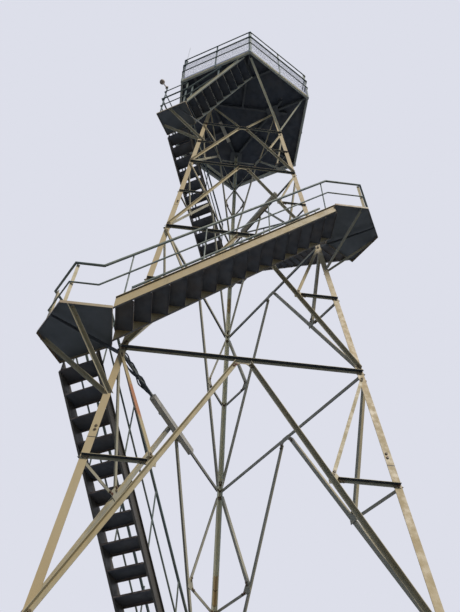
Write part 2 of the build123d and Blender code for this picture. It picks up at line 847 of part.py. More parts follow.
beams.append(floor_beam(330.0, trimmer_start, trimmer_end, -trimmer))
beams.append(floor_beam(240.0, hatch_inner + plate_gap, edge_line, header))
cross_start = (hatch_start + half_beam + (half_beam + plate_gap) / cos30) / tan30
beams.append(floor_beam(240.0, cross_start, edge_line, -hatch_start))
with BuildPart() as platform_beams:
    add(beams)
save(platform_beams, "platform_beams")

edges = []
for azimuth in SIDES:
    back = platform_inradius - edge_flange
    web = edge_strip(azimuth, back + edge_thickness, back, platform_underside, deck_underside)
    flanges = [
        edge_strip(azimuth, platform_inradius, back, low, low + edge_thickness)
        for low in (platform_underside, deck_underside - edge_thickness)
    ]
    with BuildPart() as channel:
        add(web)
        add(flanges)
    edges.append(channel.part)
with BuildPart() as platform_edge:
    add(edges)
save(platform_edge, "platform_edge")

# Floor plates, parted on the middle of the beams round the hatch
half_gap = plate_gap / 2
outer_seam = platform_inradius - rim_seam
rim = {azimuth: (azimuth, platform_inradius) for azimuth in SIDES}
main_plate = [
    meet(240, trimmer - half_gap, *rim[300.0]),
    meet(*rim[300.0], *rim[0.0]),
    meet(*rim[0.0], *rim[60.0]),
    meet(*rim[60.0], *rim[120.0]),
    meet(*rim[120.0], *rim[180.0]),
    meet(*rim[180.0], 240, trimmer - half_gap),
]
start_plate = [
    meet(240, trimmer + half_gap, *rim[180.0]),
    meet(*rim[180.0], *rim[240.0]),
    meet(*rim[240.0], 150, hatch_start + half_gap),
    meet(150, hatch_start + half_gap, 240, trimmer + half_gap),
]
end_plate = [
    meet(240, trimmer + half_gap, 330, header + half_gap),
    meet(330, header + half_gap, *rim[240.0]),
    meet(*rim[240.0], *rim[300.0]),
    meet(*rim[300.0], 240, trimmer + half_gap),
]
rim_plate = [
    meet(150, hatch_start - half_gap, 240, outer_seam + half_gap),
    meet(150, hatch_start - half_gap, *rim[240.0]),
    meet(*rim[240.0], 330, header - half_gap),
    meet(330, header - half_gap, 240, outer_seam + half_gap),
]
hatch_plate = [
    meet(150, hatch_start - half_gap, 240, trimmer + half_gap),
    meet(150, hatch_start - half_gap, 240, outer_seam - half_gap),
    meet(330, header - half_gap, 240, outer_seam - half_gap),
    meet(330, header - half_gap, 240, trimmer + half_gap),
]


def floor_plate(points):
    """Flat floor plate with a plan outline."""
    with BuildPart() as plate:
        with BuildSketch(Plane.XY.offset(floor)):
            Polygon(*points, align=None)
        extrude(amount=-deck_thickness)
    return plate.part


with BuildPart() as platform_deck:
    add([floor_plate(points) for points in (main_plate, start_plate, end_plate, rim_plate)])
save(platform_deck, "platform_deck")
with BuildPart() as hatch_lid:
    add(floor_plate(hatch_plate))
save(hatch_lid, "hatch_lid")

# Struts from two legs out to the platform; the stair passes where the third leg would have them
platform_struts = []
for corner in (CORNERS["east"], CORNERS["north"]):
    for turn in (-1, 0, 1):
        z = landing_heights[-1] + platform_strut_rise + (corner_strut_lift if turn == 0 else 0)
        top = polar(corner + 60 * turn, top_strut_radius - turn * strut_stagger, platform_underside)
        if turn == 0:
            foot, seat = polar(corner, corner_radius(z), z), corner_plane(corner, weld_gap)
        else:
            foot, seat = leg_side(corner, turn, z)
        platform_struts.append(strut(top, foot, platform_underside, seat))
with BuildPart() as outriggers:
    add(platform_struts)
save(outriggers, "platform_struts")

# Guard rail round the platform
guard_back = platform_inradius + post_thickness + 2 * weld_gap
pieces = []
for azimuth in SIDES:
    for height, radius in zip(guard_heights, guard_radii):
        line = guard_back + radius
        z = platform_underside + height
        turns = [azimuth - 120, azimuth - 60, azimuth, azimuth + 60, azimuth + 120]
        chain = [Vector(*meet(turns[i], line, turns[i + 1], line), z) for i in range(4)]
        pieces += rail_run(chain, radius, True, True)
with BuildPart() as guard_rails:
    add(pieces)
save(guard_rails, "platform_rails")

pieces = []
head = platform_underside + guard_post_height
foot = platform_underside
inner, outer = platform_inradius + weld_gap, guard_back - weld_gap
for azimuth in SIDES:
    outer_edge = Vector(*meet(azimuth, outer, azimuth + 60, outer))
    inner_edge = Vector(*meet(azimuth, inner, azimuth + 60, inner))
    legs = [polar(azimuth - 90, guard_post_leg), polar(azimuth + 150, guard_post_leg)]
    with BuildPart() as bent_post:
        with BuildSketch(Plane.XY.offset(foot)):
            Polygon(
                outer_edge, outer_edge + legs[0], inner_edge + legs[0],
                inner_edge, inner_edge + legs[1], outer_edge + legs[1],
                align=None,
            )
        extrude(amount=head - foot)
    pieces.append(bent_post.part)
    pieces.append(flat_post(azimuth, inner, 0, foot, foot, head, head))
with BuildPart() as guard_posts:
    add(pieces)
save(guard_posts, "platform_posts")

with BuildPart() as kick_plates:
    add([
        edge_strip(azimuth, platform_inradius, platform_inradius - kick_plate_thickness,
                   floor, floor + kick_plate_height)
        for azimuth in SIDES
    ])
save(kick_plates, "kick_plates")

# Fittings: lamp on the tall corner post, antenna on a platform post, cable boxes and a lamp under the floor
top_landing = landings[-1]
post_x, post_y = meet(
    top_landing.side_out[0], flights[4].outer - post_back,
    top_landing.front_out[0], flights[5].outer - post_back,
)
post_top = Vector(post_x, post_y, top_landing.z + tall_post_height + weld_gap)
lamp_middle = post_top + Vector(*lamp_offset)
stem_foot = post_top + Vector(0, 0, post_bar / 2)
stem = lamp_middle - stem_foot
lamp_angles = [pi * step / lamp_steps - pi / 2 for step in range(lamp_steps + 1)]
lamp_outline = [(lamp_radius * cos(angle), lamp_radius * sin(angle)) for angle in lamp_angles]
with BuildPart() as corner_lamp:
    with BuildSketch(Plane(origin=post_top, z_dir=(0, 0, 1))):
        Rectangle(post_bar * 1.5, post_bar * 1.5)
    extrude(amount=post_bar)
    with BuildSketch(Plane(origin=stem_foot, z_dir=stem.normalized())):
        RegularPolygon(lamp_stem_radius, rail_sides)
    extrude(amount=stem.length)
    with BuildSketch(Plane(origin=lamp_middle, x_dir=(1, 0, 0), z_dir=(0, -1, 0))):
        Polygon(*lamp_outline, align=None)
    revolve(axis=Axis(lamp_middle, (0, 0, 1)))
save(corner_lamp, "corner_lamp")

antenna_radius_out = (guard_back - weld_gap - antenna_base[0] / 2) / cos30
antenna_corner = polar(CORNERS["west"], antenna_radius_out, head + weld_gap)
with BuildPart() as whip_antenna:
    with BuildSketch(Plane(origin=antenna_corner, x_dir=polar(CORNERS["west"], 1), z_dir=(0, 0, 1))):
        Rectangle(antenna_base[0], antenna_base[1])
    extrude(amount=antenna_base[2])
    with BuildSketch(Plane(origin=antenna_corner, z_dir=(0, 0, 1))):
        RegularPolygon(antenna_radius, rail_sides)
    extrude(amount=antenna_base[2] + antenna_length)
save(whip_antenna, "whip_antenna")

box_length, box_depth, box_height = cable_box_size
strap_width, strap_thickness = cable_box_strap
with BuildPart() as cable_box_pieces:
    for azimuth, height, place, drop in cable_boxes:
        middle = up_face(height) - drop
        with BuildSketch(face_plane(azimuth, strap_thickness)):
            with Locations((place, middle)):
                Rectangle(box_length, box_height)
        extrude(amount=-box_depth)
        with BuildSketch(face_plane(azimuth, strap_thickness)):
            for side in (-1, 1):
                with Locations((place + side * box_length / 4, middle + drop / 2)):
                    Rectangle(strap_width, box_height + drop)
        extrude(amount=strap_thickness)
save(cable_box_pieces, "cable_boxes")

lamp_length, lamp_width, lamp_height = deck_lamp_size
with BuildPart() as deck_lamp:
    origin = polar(deck_lamp_face, ring_line - half_beam, platform_underside - weld_gap)
    with BuildSketch(Plane(origin=origin, x_dir=polar(deck_lamp_face + 90, 1), z_dir=(0, 0, -1))):
        Rectangle(lamp_length, lamp_width)
    extrude(amount=lamp_height)
save(deck_lamp, "deck_lamp")
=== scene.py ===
"""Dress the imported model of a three-legged steel fire lookout tower with an outside stair.

Everything is in metres, with +Z up and the tower's upright axis at the origin.
"""

import json
import logging
import math
from dataclasses import dataclass, replace
from enum import Enum
from fnmatch import fnmatchcase

import bpy
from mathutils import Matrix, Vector

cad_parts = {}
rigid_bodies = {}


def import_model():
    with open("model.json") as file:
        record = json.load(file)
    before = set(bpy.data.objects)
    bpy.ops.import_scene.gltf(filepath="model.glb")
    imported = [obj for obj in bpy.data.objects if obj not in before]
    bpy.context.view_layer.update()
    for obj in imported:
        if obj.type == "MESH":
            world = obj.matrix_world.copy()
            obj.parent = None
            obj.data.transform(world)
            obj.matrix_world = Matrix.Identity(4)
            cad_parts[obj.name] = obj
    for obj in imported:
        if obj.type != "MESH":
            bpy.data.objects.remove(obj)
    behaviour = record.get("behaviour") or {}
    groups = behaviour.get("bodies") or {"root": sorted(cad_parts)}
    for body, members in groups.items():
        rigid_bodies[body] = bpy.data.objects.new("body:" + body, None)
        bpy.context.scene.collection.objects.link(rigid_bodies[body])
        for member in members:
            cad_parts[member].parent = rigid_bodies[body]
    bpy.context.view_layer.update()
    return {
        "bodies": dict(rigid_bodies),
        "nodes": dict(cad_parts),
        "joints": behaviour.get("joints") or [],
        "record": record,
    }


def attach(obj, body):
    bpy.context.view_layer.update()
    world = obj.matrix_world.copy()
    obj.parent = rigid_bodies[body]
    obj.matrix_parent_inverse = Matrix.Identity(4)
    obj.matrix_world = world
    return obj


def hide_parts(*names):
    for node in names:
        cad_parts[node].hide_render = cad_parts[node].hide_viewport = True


Pair = tuple[float, float]
Triple = tuple[float, float, float]
Colour = tuple[float, float, float, float]
LOG = logging.getLogger("lookout_tower")
HEXAGON_FLAT = math.cos(math.radians(30))  # distance of a hexagon's side for each metre to its corners
UP = Vector((0.0, 0.0, 1.0))


def srgb(red: int, green: int, blue: int) -> Colour:
    """Turn a display colour into the linear colour that a shader takes.

    Args:
        red: Red from 0 to 255.
        green: Green from 0 to 255.
        blue: Blue from 0 to 255.

    Returns:
        The linear colour with full opacity.
    """
    def linear(value: int) -> float:
        """Undo the display curve of one channel."""
        share = value / 255
        return share / 12.92 if share <= 0.04045 else ((share + 0.055) / 1.055) ** 2.4

    return linear(red), linear(green), linear(blue), 1.0


class Slot(Enum):
    """Material slots of the record that the scene's own pieces take."""

    LEG_PAINT = "leg_paint"
    FRAME_PAINT = "frame_paint"
    RAIL_PAINT = "rail_paint"
    GALVANISED = "galvanised"
    FITTING_PLASTIC = "fitting_plastic"


class Turn(Enum):
    """Side of a face that a bar runs to, seen from outside the tower."""

    LEFT = -1
    RIGHT = 1


@dataclass(frozen=True)
class Cloud:
    """Cloudy noise: features for each metre, finer layers, their weight and the scale of each axis."""

    scale: float
    detail: float = 4.0
    rough: float = 0.55
    stretch: Triple = (1.0, 1.0, 1.0)


class NodeTree:
    """Node tree under construction, with one short call for each node."""

    def __init__(self, tree: bpy.types.NodeTree) -> None:
        """Take a tree to add to."""
        self.tree = tree

    def feed(self, socket: bpy.types.NodeSocket, value: object) -> None:
        """Link a socket to another one, or set it to a plain value."""
        if isinstance(value, bpy.types.NodeSocket):
            self.tree.links.new(value, socket)
        else:
            socket.default_value = value

    def node(self, kind: str, inputs: dict[str | int, object] | None = None,
             **settings: object) -> bpy.types.Node:
        """Add a node with its settings and what feeds it.

        Args:
            kind: Type name of the node.
            inputs: Values or sockets for its inputs, by name or number.
            settings: Properties of the node.

        Returns:
            The node.
        """
        made = self.tree.nodes.new(kind)
        for key, value in settings.items():
            setattr(made, key, value)
        for key, value in (inputs or {}).items():
            self.feed(made.inputs[key], value)
        return made


class ShaderTree(NodeTree):
    """Node tree of one material, with short calls for what the finishes share."""

    def __init__(self, name: str) -> None:
        """Make a material with its coordinates ready.

        Args:
            name: Name of the material.
        """
        self.material = bpy.data.materials.new(name)
        self.material.use_nodes = True
        super().__init__(self.material.node_tree)
        self.shader = self.tree.nodes["Principled BSDF"]
        self.place = self.node("ShaderNodeTexCoord").outputs["Object"]
        self.x, self.y, self.z = self.node("ShaderNodeSeparateXYZ", {0: self.place}).outputs

    def noise(self, cloud: Cloud) -> bpy.types.NodeSocket:
        """Value of a cloudy pattern, from 0 to 1."""
        mapped = self.node("ShaderNodeMapping", {"Vector": self.place, "Scale": cloud.stretch})
        made = self.node("ShaderNodeTexNoise", {
            "Vector": mapped.outputs[0], "Scale": cloud.scale, "Detail": cloud.detail,
            "Roughness": cloud.rough})
        return made.outputs["Fac"]

    def between(self, value: object, span: Pair, low: float = 0.0,
                high: float = 1.0) -> bpy.types.NodeSocket:
        """Carry a value from one range to another with soft ends.

        Args:
            value: Value to carry over.
            span: Start and end of its range.
            low: Result at the start.
            high: Result at the end.

        Returns:
            The value in the new range.
        """
        made = self.node("ShaderNodeMapRange", {
            "Value": value, "From Min": span[0], "From Max": span[1], "To Min": low, "To Max": high,
        }, interpolation_type="SMOOTHSTEP")
        return made.outputs["Result"]

    def math(self, operation: str, first: object, second: object = 0.0,
             third: object = 0.0) -> bpy.types.NodeSocket:
        """Result of one calculation on up to three values."""
        made = self.node("ShaderNodeMath", {0: first, 1: second, 2: third}, operation=operation)
        return made.outputs[0]

    def vector(self, operation: str, first: object, second: object = (0.0, 0.0, 0.0)) -> bpy.types.Node:
        """Node of one calculation on up to two vectors."""
        return self.node("ShaderNodeVectorMath", {0: first, 1: second}, operation=operation)

    def mix(self, share: object, first: object, second: object) -> bpy.types.NodeSocket:
        """Colour between two others by a share."""
        # On a Mix node the sockets 6 and 7 take the colours, and output 2 gives the mixed one.
        return self.node("ShaderNodeMix", {0: share, 6: first, 7: second}, data_type="RGBA").outputs[2]

    def near_heights(self, heights: tuple[float, ...], reach: float) -> object:
        """Mask that is 1 at the given heights and falls to 0 within a reach."""
        mask: object = 0.0
        for height in heights:
            away = self.math("ABSOLUTE", self.math("SUBTRACT", self.z, height))
            mask = self.math("MAXIMUM", mask, self.between(away, (reach, 0.0)))
        return mask

    def distance(self, point: Triple) -> bpy.types.NodeSocket:
        """Distance from a point to the shaded place."""
        return self.vector("DISTANCE", self.place, point).outputs["Value"]

    def normal(self) -> bpy.types.NodeSocket:
        """Direction that the surface faces."""
        return self.node("ShaderNodeNewGeometry").outputs["Normal"]

    def facing_up(self) -> bpy.types.NodeSocket:
        """How far the surface faces up, from -1 to 1."""
        return self.node("ShaderNodeSeparateXYZ", {0: self.normal()}).outputs[2]

    def facing_axis(self) -> bpy.types.NodeSocket:
        """How far the surface faces the tower's upright axis, from -1 to 1."""
        flat = self.vector("MULTIPLY", self.place, (-1.0, -1.0, 0.0))
        inward = self.vector("NORMALIZE", flat.outputs[0])
        return self.vector("DOT_PRODUCT", inward.outputs[0], self.normal()).outputs["Value"]

    def bump(self, height: bpy.types.NodeSocket, relief: Pair) -> None:
        """Put a pattern on the shader as relief, by its strength and its depth in metres."""
        strength, depth = relief
        made = self.node("ShaderNodeBump", {"Strength": strength, "Distance": depth, "Height": height})
        self.feed(self.shader.inputs["Normal"], made.outputs[0])

    def dress(self, colour: object, roughness: object, metal: float = 0.0) -> bpy.types.Material:
        """Set the shader's colour, roughness and metal share and hand over the material."""
        for name, value in (("Base Color", colour), ("Roughness", roughness), ("Metallic", metal)):
            self.feed(self.shader.inputs[name], value)
        return self.material


@dataclass(frozen=True)
class PaintedSteel:
    """Weathered paint on rolled steel: faded patches, run-down dirt, rust by the joints; some finishes add
    painted shade on undersides and painted light and shade on faces towards the axis.
    """

    name: str
    paint: Colour
    faded: Colour
    patches: Cloud = Cloud(0.9, 5.0, 0.6)
    patch_span: Pair = (0.35, 0.68)
    dirt: Colour = srgb(96, 88, 66)
    dirt_share: float = 0.35
    streaks: Cloud = Cloud(7.0, 5.0, 0.6, (1.0, 1.0, 0.12))
    streak_span: Pair = (0.45, 0.78)
    rust: Colour = srgb(120, 66, 38)
    rust_from: float = 0.66
    rust_width: float = 0.07
    specks: Cloud = Cloud(16.0, 7.0, 0.7)
    joint_heights: tuple[float, ...] = ()
    joint_reach: float = 0.45
    joint_rust: float = 0.07
    rust_spot: Triple | None = None
    spot_reach: Pair = (0.42, 0.21)
    spot_share: float = 0.75
    spot_span: Pair = (0.3, 0.7)
    spot_stretch: Pair = (1.3, 0.8)
    rust_bright: Colour = srgb(190, 112, 66)
    seam_heights: tuple[float, ...] = ()
    seam_half: float = 0.006
    seam: Colour = srgb(38, 34, 28)
    # Colour painted on faces that point down, standing in for the shade under the bars: painted shade.
    painted_underside_shade: Colour | None = None
    underside_from: float = -0.55
    underside_width: float = 0.2
    # Colour painted on faces that look towards the tower's axis in place of the light they get; a pale one
    # paints light there, a dark one paints shade.
    inner_painted_light: Colour | None = None
    inner_span: Pair = (0.0, 0.4)
    sheen: Cloud = Cloud(11.0)
    sheen_span: Pair = (0.3, 0.7)
    roughness: Pair = (0.42, 0.68)
    skin: Cloud = Cloud(420.0, 2.0)
    rust_pits: float = 0.8
    relief: Pair = (0.35, 0.0012)

    def material(self) -> bpy.types.Material:
        """Build the finish.

        Returns:
            The material.
        """
        tree = ShaderTree(self.name)
        colour = tree.mix(tree.between(tree.noise(self.patches), self.patch_span), self.paint, self.faded)
        dirt = tree.between(tree.noise(self.streaks), self.streak_span, 0.0, self.dirt_share)
        colour = tree.mix(dirt, colour, self.dirt)
        specks = tree.noise(self.specks)
        if self.joint_heights:
            joints = tree.near_heights(self.joint_heights, self.joint_reach)
            specks = tree.math("ADD", specks, tree.math("MULTIPLY", joints, self.joint_rust))
        rust = tree.between(specks, (self.rust_from, self.rust_from + self.rust_width))
        colour = tree.mix(rust, colour, self.rust)
        if self.rust_spot:
            ragged = tree.between(specks, self.spot_span, *self.spot_stretch)
            away = tree.math("MULTIPLY", tree.distance(self.rust_spot), ragged)
            spot = tree.between(away, self.spot_reach, 0.0, self.spot_share)
            colour = tree.mix(spot, colour, self.rust_bright)
        for height in self.seam_heights:
            colour = tree.mix(tree.math("COMPARE", tree.z, height, self.seam_half), colour, self.seam)
        # Painted shade: faces that point down take a darker colour.
        if self.painted_underside_shade:
            span = (self.underside_from, self.underside_from - self.underside_width)
            colour = tree.mix(tree.between(tree.facing_up(), span), colour, self.painted_underside_shade)
        # Painted light and shade on the faces that look towards the axis.
        if self.inner_painted_light:
            colour = tree.mix(tree.between(tree.facing_axis(), self.inner_span), colour, self.inner_painted_light)
        pits = tree.math("MULTIPLY", rust, self.rust_pits)
        tree.bump(tree.math("SUBTRACT", tree.noise(self.skin), pits), self.relief)
        return tree.dress(colour, tree.between(tree.noise(self.sheen), self.sheen_span, *self.roughness))


@dataclass(frozen=True)
class RolledPlate:
    """Bare weathered floor plate: near black below, partly the steel's own tone and partly painted shade,
    dusty on top with a raised lozenge pattern.
    """

    name: str
    lip: Colour | None = None
    # Dark steel and stain colours, darkened past the steel's own tone as painted shade under the plates.
    steel: Colour = srgb(50, 55, 61)
    brown: Colour = srgb(56, 56, 56)
    stains: Cloud = Cloud(1.7, 6.0, 0.62)
    stain_span: Pair = (0.42, 0.7)
    top_span: Pair = (0.5, 0.9)
    dust: Colour = srgb(120, 112, 96)
    drifts: Cloud = Cloud(5.0, 5.0)
    drift_span: Pair = (0.25, 0.65)
    drift_shares: Pair = (0.45, 1.0)
    pattern_pitch: float = 0.030
    raised_span: Pair = (0.35, 0.70)
    worn: Colour = srgb(150, 146, 138)
    worn_share: float = 0.3
    side_span: Pair = (0.5, 0.2)
    lip_wear: Cloud = Cloud(9.0, 5.0)
    lip_span: Pair = (0.35, 0.7)
    lip_worn: Colour = srgb(92, 78, 66)
    grain: Cloud = Cloud(160.0, 3.0)
    grain_share: float = 0.3
    relief: Pair = (0.5, 0.0015)
    sheen: Cloud = Cloud(9.0)
    sheen_span: Pair = (0.3, 0.7)
    roughness: Pair = (0.5, 0.78)
    metal: float = 0.25

    def lozenges(self, tree: ShaderTree) -> bpy.types.NodeSocket:
        """Raised pattern from two crossing waves."""
        turn = math.pi / self.pattern_pitch
        waves = [tree.math("SINE", tree.math("MULTIPLY", tree.math(operation, tree.x, tree.y), turn))
                 for operation in ("ADD", "SUBTRACT")]
        return tree.between(tree.math("MULTIPLY", *waves), self.raised_span)

    def material(self) -> bpy.types.Material:
        """Build the finish.

        Returns:
            The material.
        """
        tree = ShaderTree(self.name)
        stains = tree.between(tree.noise(self.stains), self.stain_span)
        colour = tree.mix(stains, self.steel, self.brown)
        top = tree.between(tree.facing_up(), self.top_span)
        drifts = tree.between(tree.noise(self.drifts), self.drift_span, *self.drift_shares)
        colour = tree.mix(tree.math("MULTIPLY", top, drifts), colour, self.dust)
        raised = tree.math("MULTIPLY", self.lozenges(tree), top)
        colour = tree.mix(tree.math("MULTIPLY", raised, self.worn_share), colour, self.worn)
        # Side faces take the lip colour with its wear; the upper treads' pale lip colour is painted light.
        if self.lip:
            wear = tree.between(tree.noise(self.lip_wear), self.lip_span)
            side = tree.between(tree.math("ABSOLUTE", tree.facing_up()), self.side_span)
            colour = tree.mix(side, colour, tree.mix(wear, self.lip, self.lip_worn))
        grain = tree.math("MULTIPLY", tree.noise(self.grain), self.grain_share)
        tree.bump(tree.math("ADD", raised, grain), self.relief)
        roughness = tree.between(tree.noise(self.sheen), self.sheen_span, *self.roughness)
        return tree.dress(colour, roughness, self.metal)


@dataclass(frozen=True)
class ZincCoat:
    """Hot-dipped zinc with its crystal pattern, stained by rain."""

    name: str
    zinc: Colour = srgb(150, 152, 150)
    dull: Colour = srgb(108, 108, 104)
    crystal_scale: float = 45.0
    stain: Colour = srgb(98, 74, 54)
    stains: Cloud = Cloud(14.0, 6.0, 0.65)
    stain_span: Pair = (0.58, 0.75)
    roughness: Pair = (0.42, 0.62)
    grain: Cloud = Cloud(260.0, 3.0)
    relief: Pair = (0.25, 0.0008)
    metal: float = 0.55

    def material(self) -> bpy.types.Material:
        """Build the finish.

        Returns:
            The material.
        """
        tree = ShaderTree(self.name)
        crystals = tree.node("ShaderNodeTexVoronoi", {"Scale": self.crystal_scale, "Vector": tree.place})
        tone, gloss, _ = tree.node("ShaderNodeSeparateColor", {0: crystals.outputs["Color"]}).outputs
        colour = tree.mix(tree.between(tone, (0.0, 1.0)), self.zinc, self.dull)
        stains = tree.between(tree.noise(self.stains), self.stain_span)
        tree.bump(tree.noise(self.grain), self.relief)
        roughness = tree.between(gloss, (0.0, 1.0), *self.roughness)
        return tree.dress(tree.mix(stains, colour, self.stain), roughness, self.metal)


def polar(azimuth: float, radius: float, height: float = 0.0) -> Vector:
    """Point at an azimuth in degrees, a radius and a height."""
    turn = math.radians(azimuth)
    return Vector((radius * math.cos(turn), radius * math.sin(turn), height))


@dataclass(frozen=True)
class Bar:
    """Straight angle bar outside a face, given in the face's own plane."""

    azimuth: float
    start: Pair
    end: Pair
    thickness: float
    start_backing: float
    end_backing: float


def along(start: Pair, end: Pair, distance: float) -> Pair:
    """Point at a distance from one point on the way to another."""
    x, y = end[0] - start[0], end[1] - start[1]
    run = math.hypot(x, y)
    return start[0] + x / run * distance, start[1] + y / run * distance


@dataclass(frozen=True)
class TowerShape:
    """Driving sizes of the tower and the places that follow from them."""

    base_width: float = 4.450
    taper: float = 0.1445
    foot_joint: float = 0.170
    landings: tuple[float, ...] = (4.260, 8.060, 11.570, 14.650, 17.150)
    platform_underside: float = 18.830
    head_joint_drop: float = 0.190
    platform_radius: float = 1.980
    leg_thickness: float = 0.008
    gusset_thickness: float = 0.006
    splice_heights: tuple[float, ...] = (6.250, 12.290)
    splice_length: float = 0.420
    base_plate_thickness: float = 0.020
    face_azimuths: tuple[float, ...] = (270.0, 30.0, 150.0)
    corner_azimuths: tuple[float, ...] = (210.0, 330.0, 90.0)
    stair_azimuths: tuple[float, ...] = (30.0, 150.0, 270.0)
    upper_panels_from: int = 3
    main_thickness: float = 0.006
    light_thickness: float = 0.005
    joint_stop: float = 0.095
    level_stop: float = 0.012
    apex_spread: float = 0.060
    apex_stop: float = 0.060
    node_stop: float = 0.065

    def width_at(self, height: float) -> float:
        """Distance between two leg corners at a height."""
        return self.base_width - self.taper * height

    def face_distance(self, height: float) -> float:
        """Distance from the axis to a face at a height."""
        return self.width_at(height) / (2 * math.sqrt(3))

    def corner_radius(self, height: float) -> float:
        """Distance from the axis to a leg corner at a height."""
        return self.width_at(height) / math.sqrt(3)

    def lean(self) -> float:
        """Angle in radians by which a face leans inwards."""
        return math.atan(self.taper / (2 * math.sqrt(3)))

    def up_face(self, height: float) -> float:
        """Distance measured up a leaning face to reach a height."""
        return height / math.cos(self.lean())

    def on_face(self, azimuth: float, across: float, up: float, depth: float) -> Vector:
        """Point given in the plane of a face.

        Args:
            azimuth: Direction in degrees that the face looks to.
            across: Distance from the face's middle line, counter-clockwise round the tower.
            up: Distance up the leaning face.
            depth: Distance behind the outer surface of the face.

        Returns:
            The point in the tower's frame.
        """
        outward = self.face_normal(azimuth)
        sideways = polar(azimuth + 90, 1.0)
        upward = outward.cross(sideways)
        origin = polar(azimuth, self.face_distance(0.0))
        return origin + sideways * across + upward * up - outward * depth

    def face_normal(self, azimuth: float) -> Vector:
        """Outward direction square to a leaning face."""
        lean = self.lean()
        return polar(azimuth, math.cos(lean), math.sin(lean))

    def bar(self, azimuth: float, start: Pair, end: Pair, cuts: Pair, main: bool,
            on_leg: tuple[bool, bool]) -> Bar:
        """Bar between two points of a face, cut short at both ends.

        Args:
            azimuth: Direction in degrees that the face looks to.
            start: First point, as across and up.
            end: Second point, as across and up.
            cuts: Lengths left out after the first point and before the second one.
            main: Whether it is one of the heavier bars.
            on_leg: Whether each end is bolted to a leg, and not to a gusset.

        Returns:
            The bar as it is cut.
        """
        backings = [self.leg_thickness if leg else self.gusset_thickness for leg in on_leg]
        return Bar(azimuth, along(start, end, cuts[0]), along(end, start, cuts[1]),
                   self.main_thickness if main else self.light_thickness, *backings)

    def bars(self) -> list[Bar]:
        """All the bars of the three faces.

        Returns:
            Diagonals, light bars and level bars of every panel.
        """
        found: list[Bar] = []
        heights = (self.foot_joint, *self.landings)
        for azimuth in self.face_azimuths:
            for panel in range(len(self.landings)):
                found += self.panel_bars(azimuth, panel, heights[panel], heights[panel + 1])
        return found

    def panel_bars(self, azimuth: float, panel: int, low: float, high: float) -> list[Bar]:
        """Bars of one panel: inverted vee, light bars at its sides and the level bar on top.

        Args:
            azimuth: Direction in degrees that the face looks to.
            panel: Number of the panel from the ground.
            low: Height of its lower joints.
            high: Height of its upper joints.

        Returns:
            The bars of the panel.
        """
        main = panel < self.upper_panels_from
        middle, top = (low + high) / 2, self.up_face(high)
        found: list[Bar] = []
        for turn in Turn:
            side = turn.value
            foot = (side * self.width_at(low) / 2, self.up_face(low))
            shoulder = (side * self.width_at(high) / 2, top)
            apex = (side * self.apex_spread, top)
            node = ((foot[0] + apex[0]) / 2, (foot[1] + apex[1]) / 2)
            leg = (side * self.width_at(middle) / 2, self.up_face(middle))
            plan = [
                (foot, apex, (self.joint_stop, self.apex_stop), main, (True, False)),
                (leg, node, (self.level_stop, self.node_stop), False, (True, False)),
                (node, shoulder, (self.node_stop, self.joint_stop), False, (False, True)),
            ]
            if high == self.landings[-1]:
                head_height = self.platform_underside - self.head_joint_drop
                head = (side * self.width_at(head_height) / 2, self.up_face(head_height))
                plan.append((apex, head, (self.apex_stop, self.joint_stop), False, (False, True)))
            found += [self.bar(azimuth, *bar) for bar in plan]
        left, right = (-self.width_at(high) / 2, top), (self.width_at(high) / 2, top)
        stops = (self.level_stop, self.level_stop)
        found.append(self.bar(azimuth, left, right, stops, main, (True, True)))
        return found


@dataclass(frozen=True)
class Site:
    """Place of one fastener and the direction its head looks to."""

    point: Vector
    normal: Vector


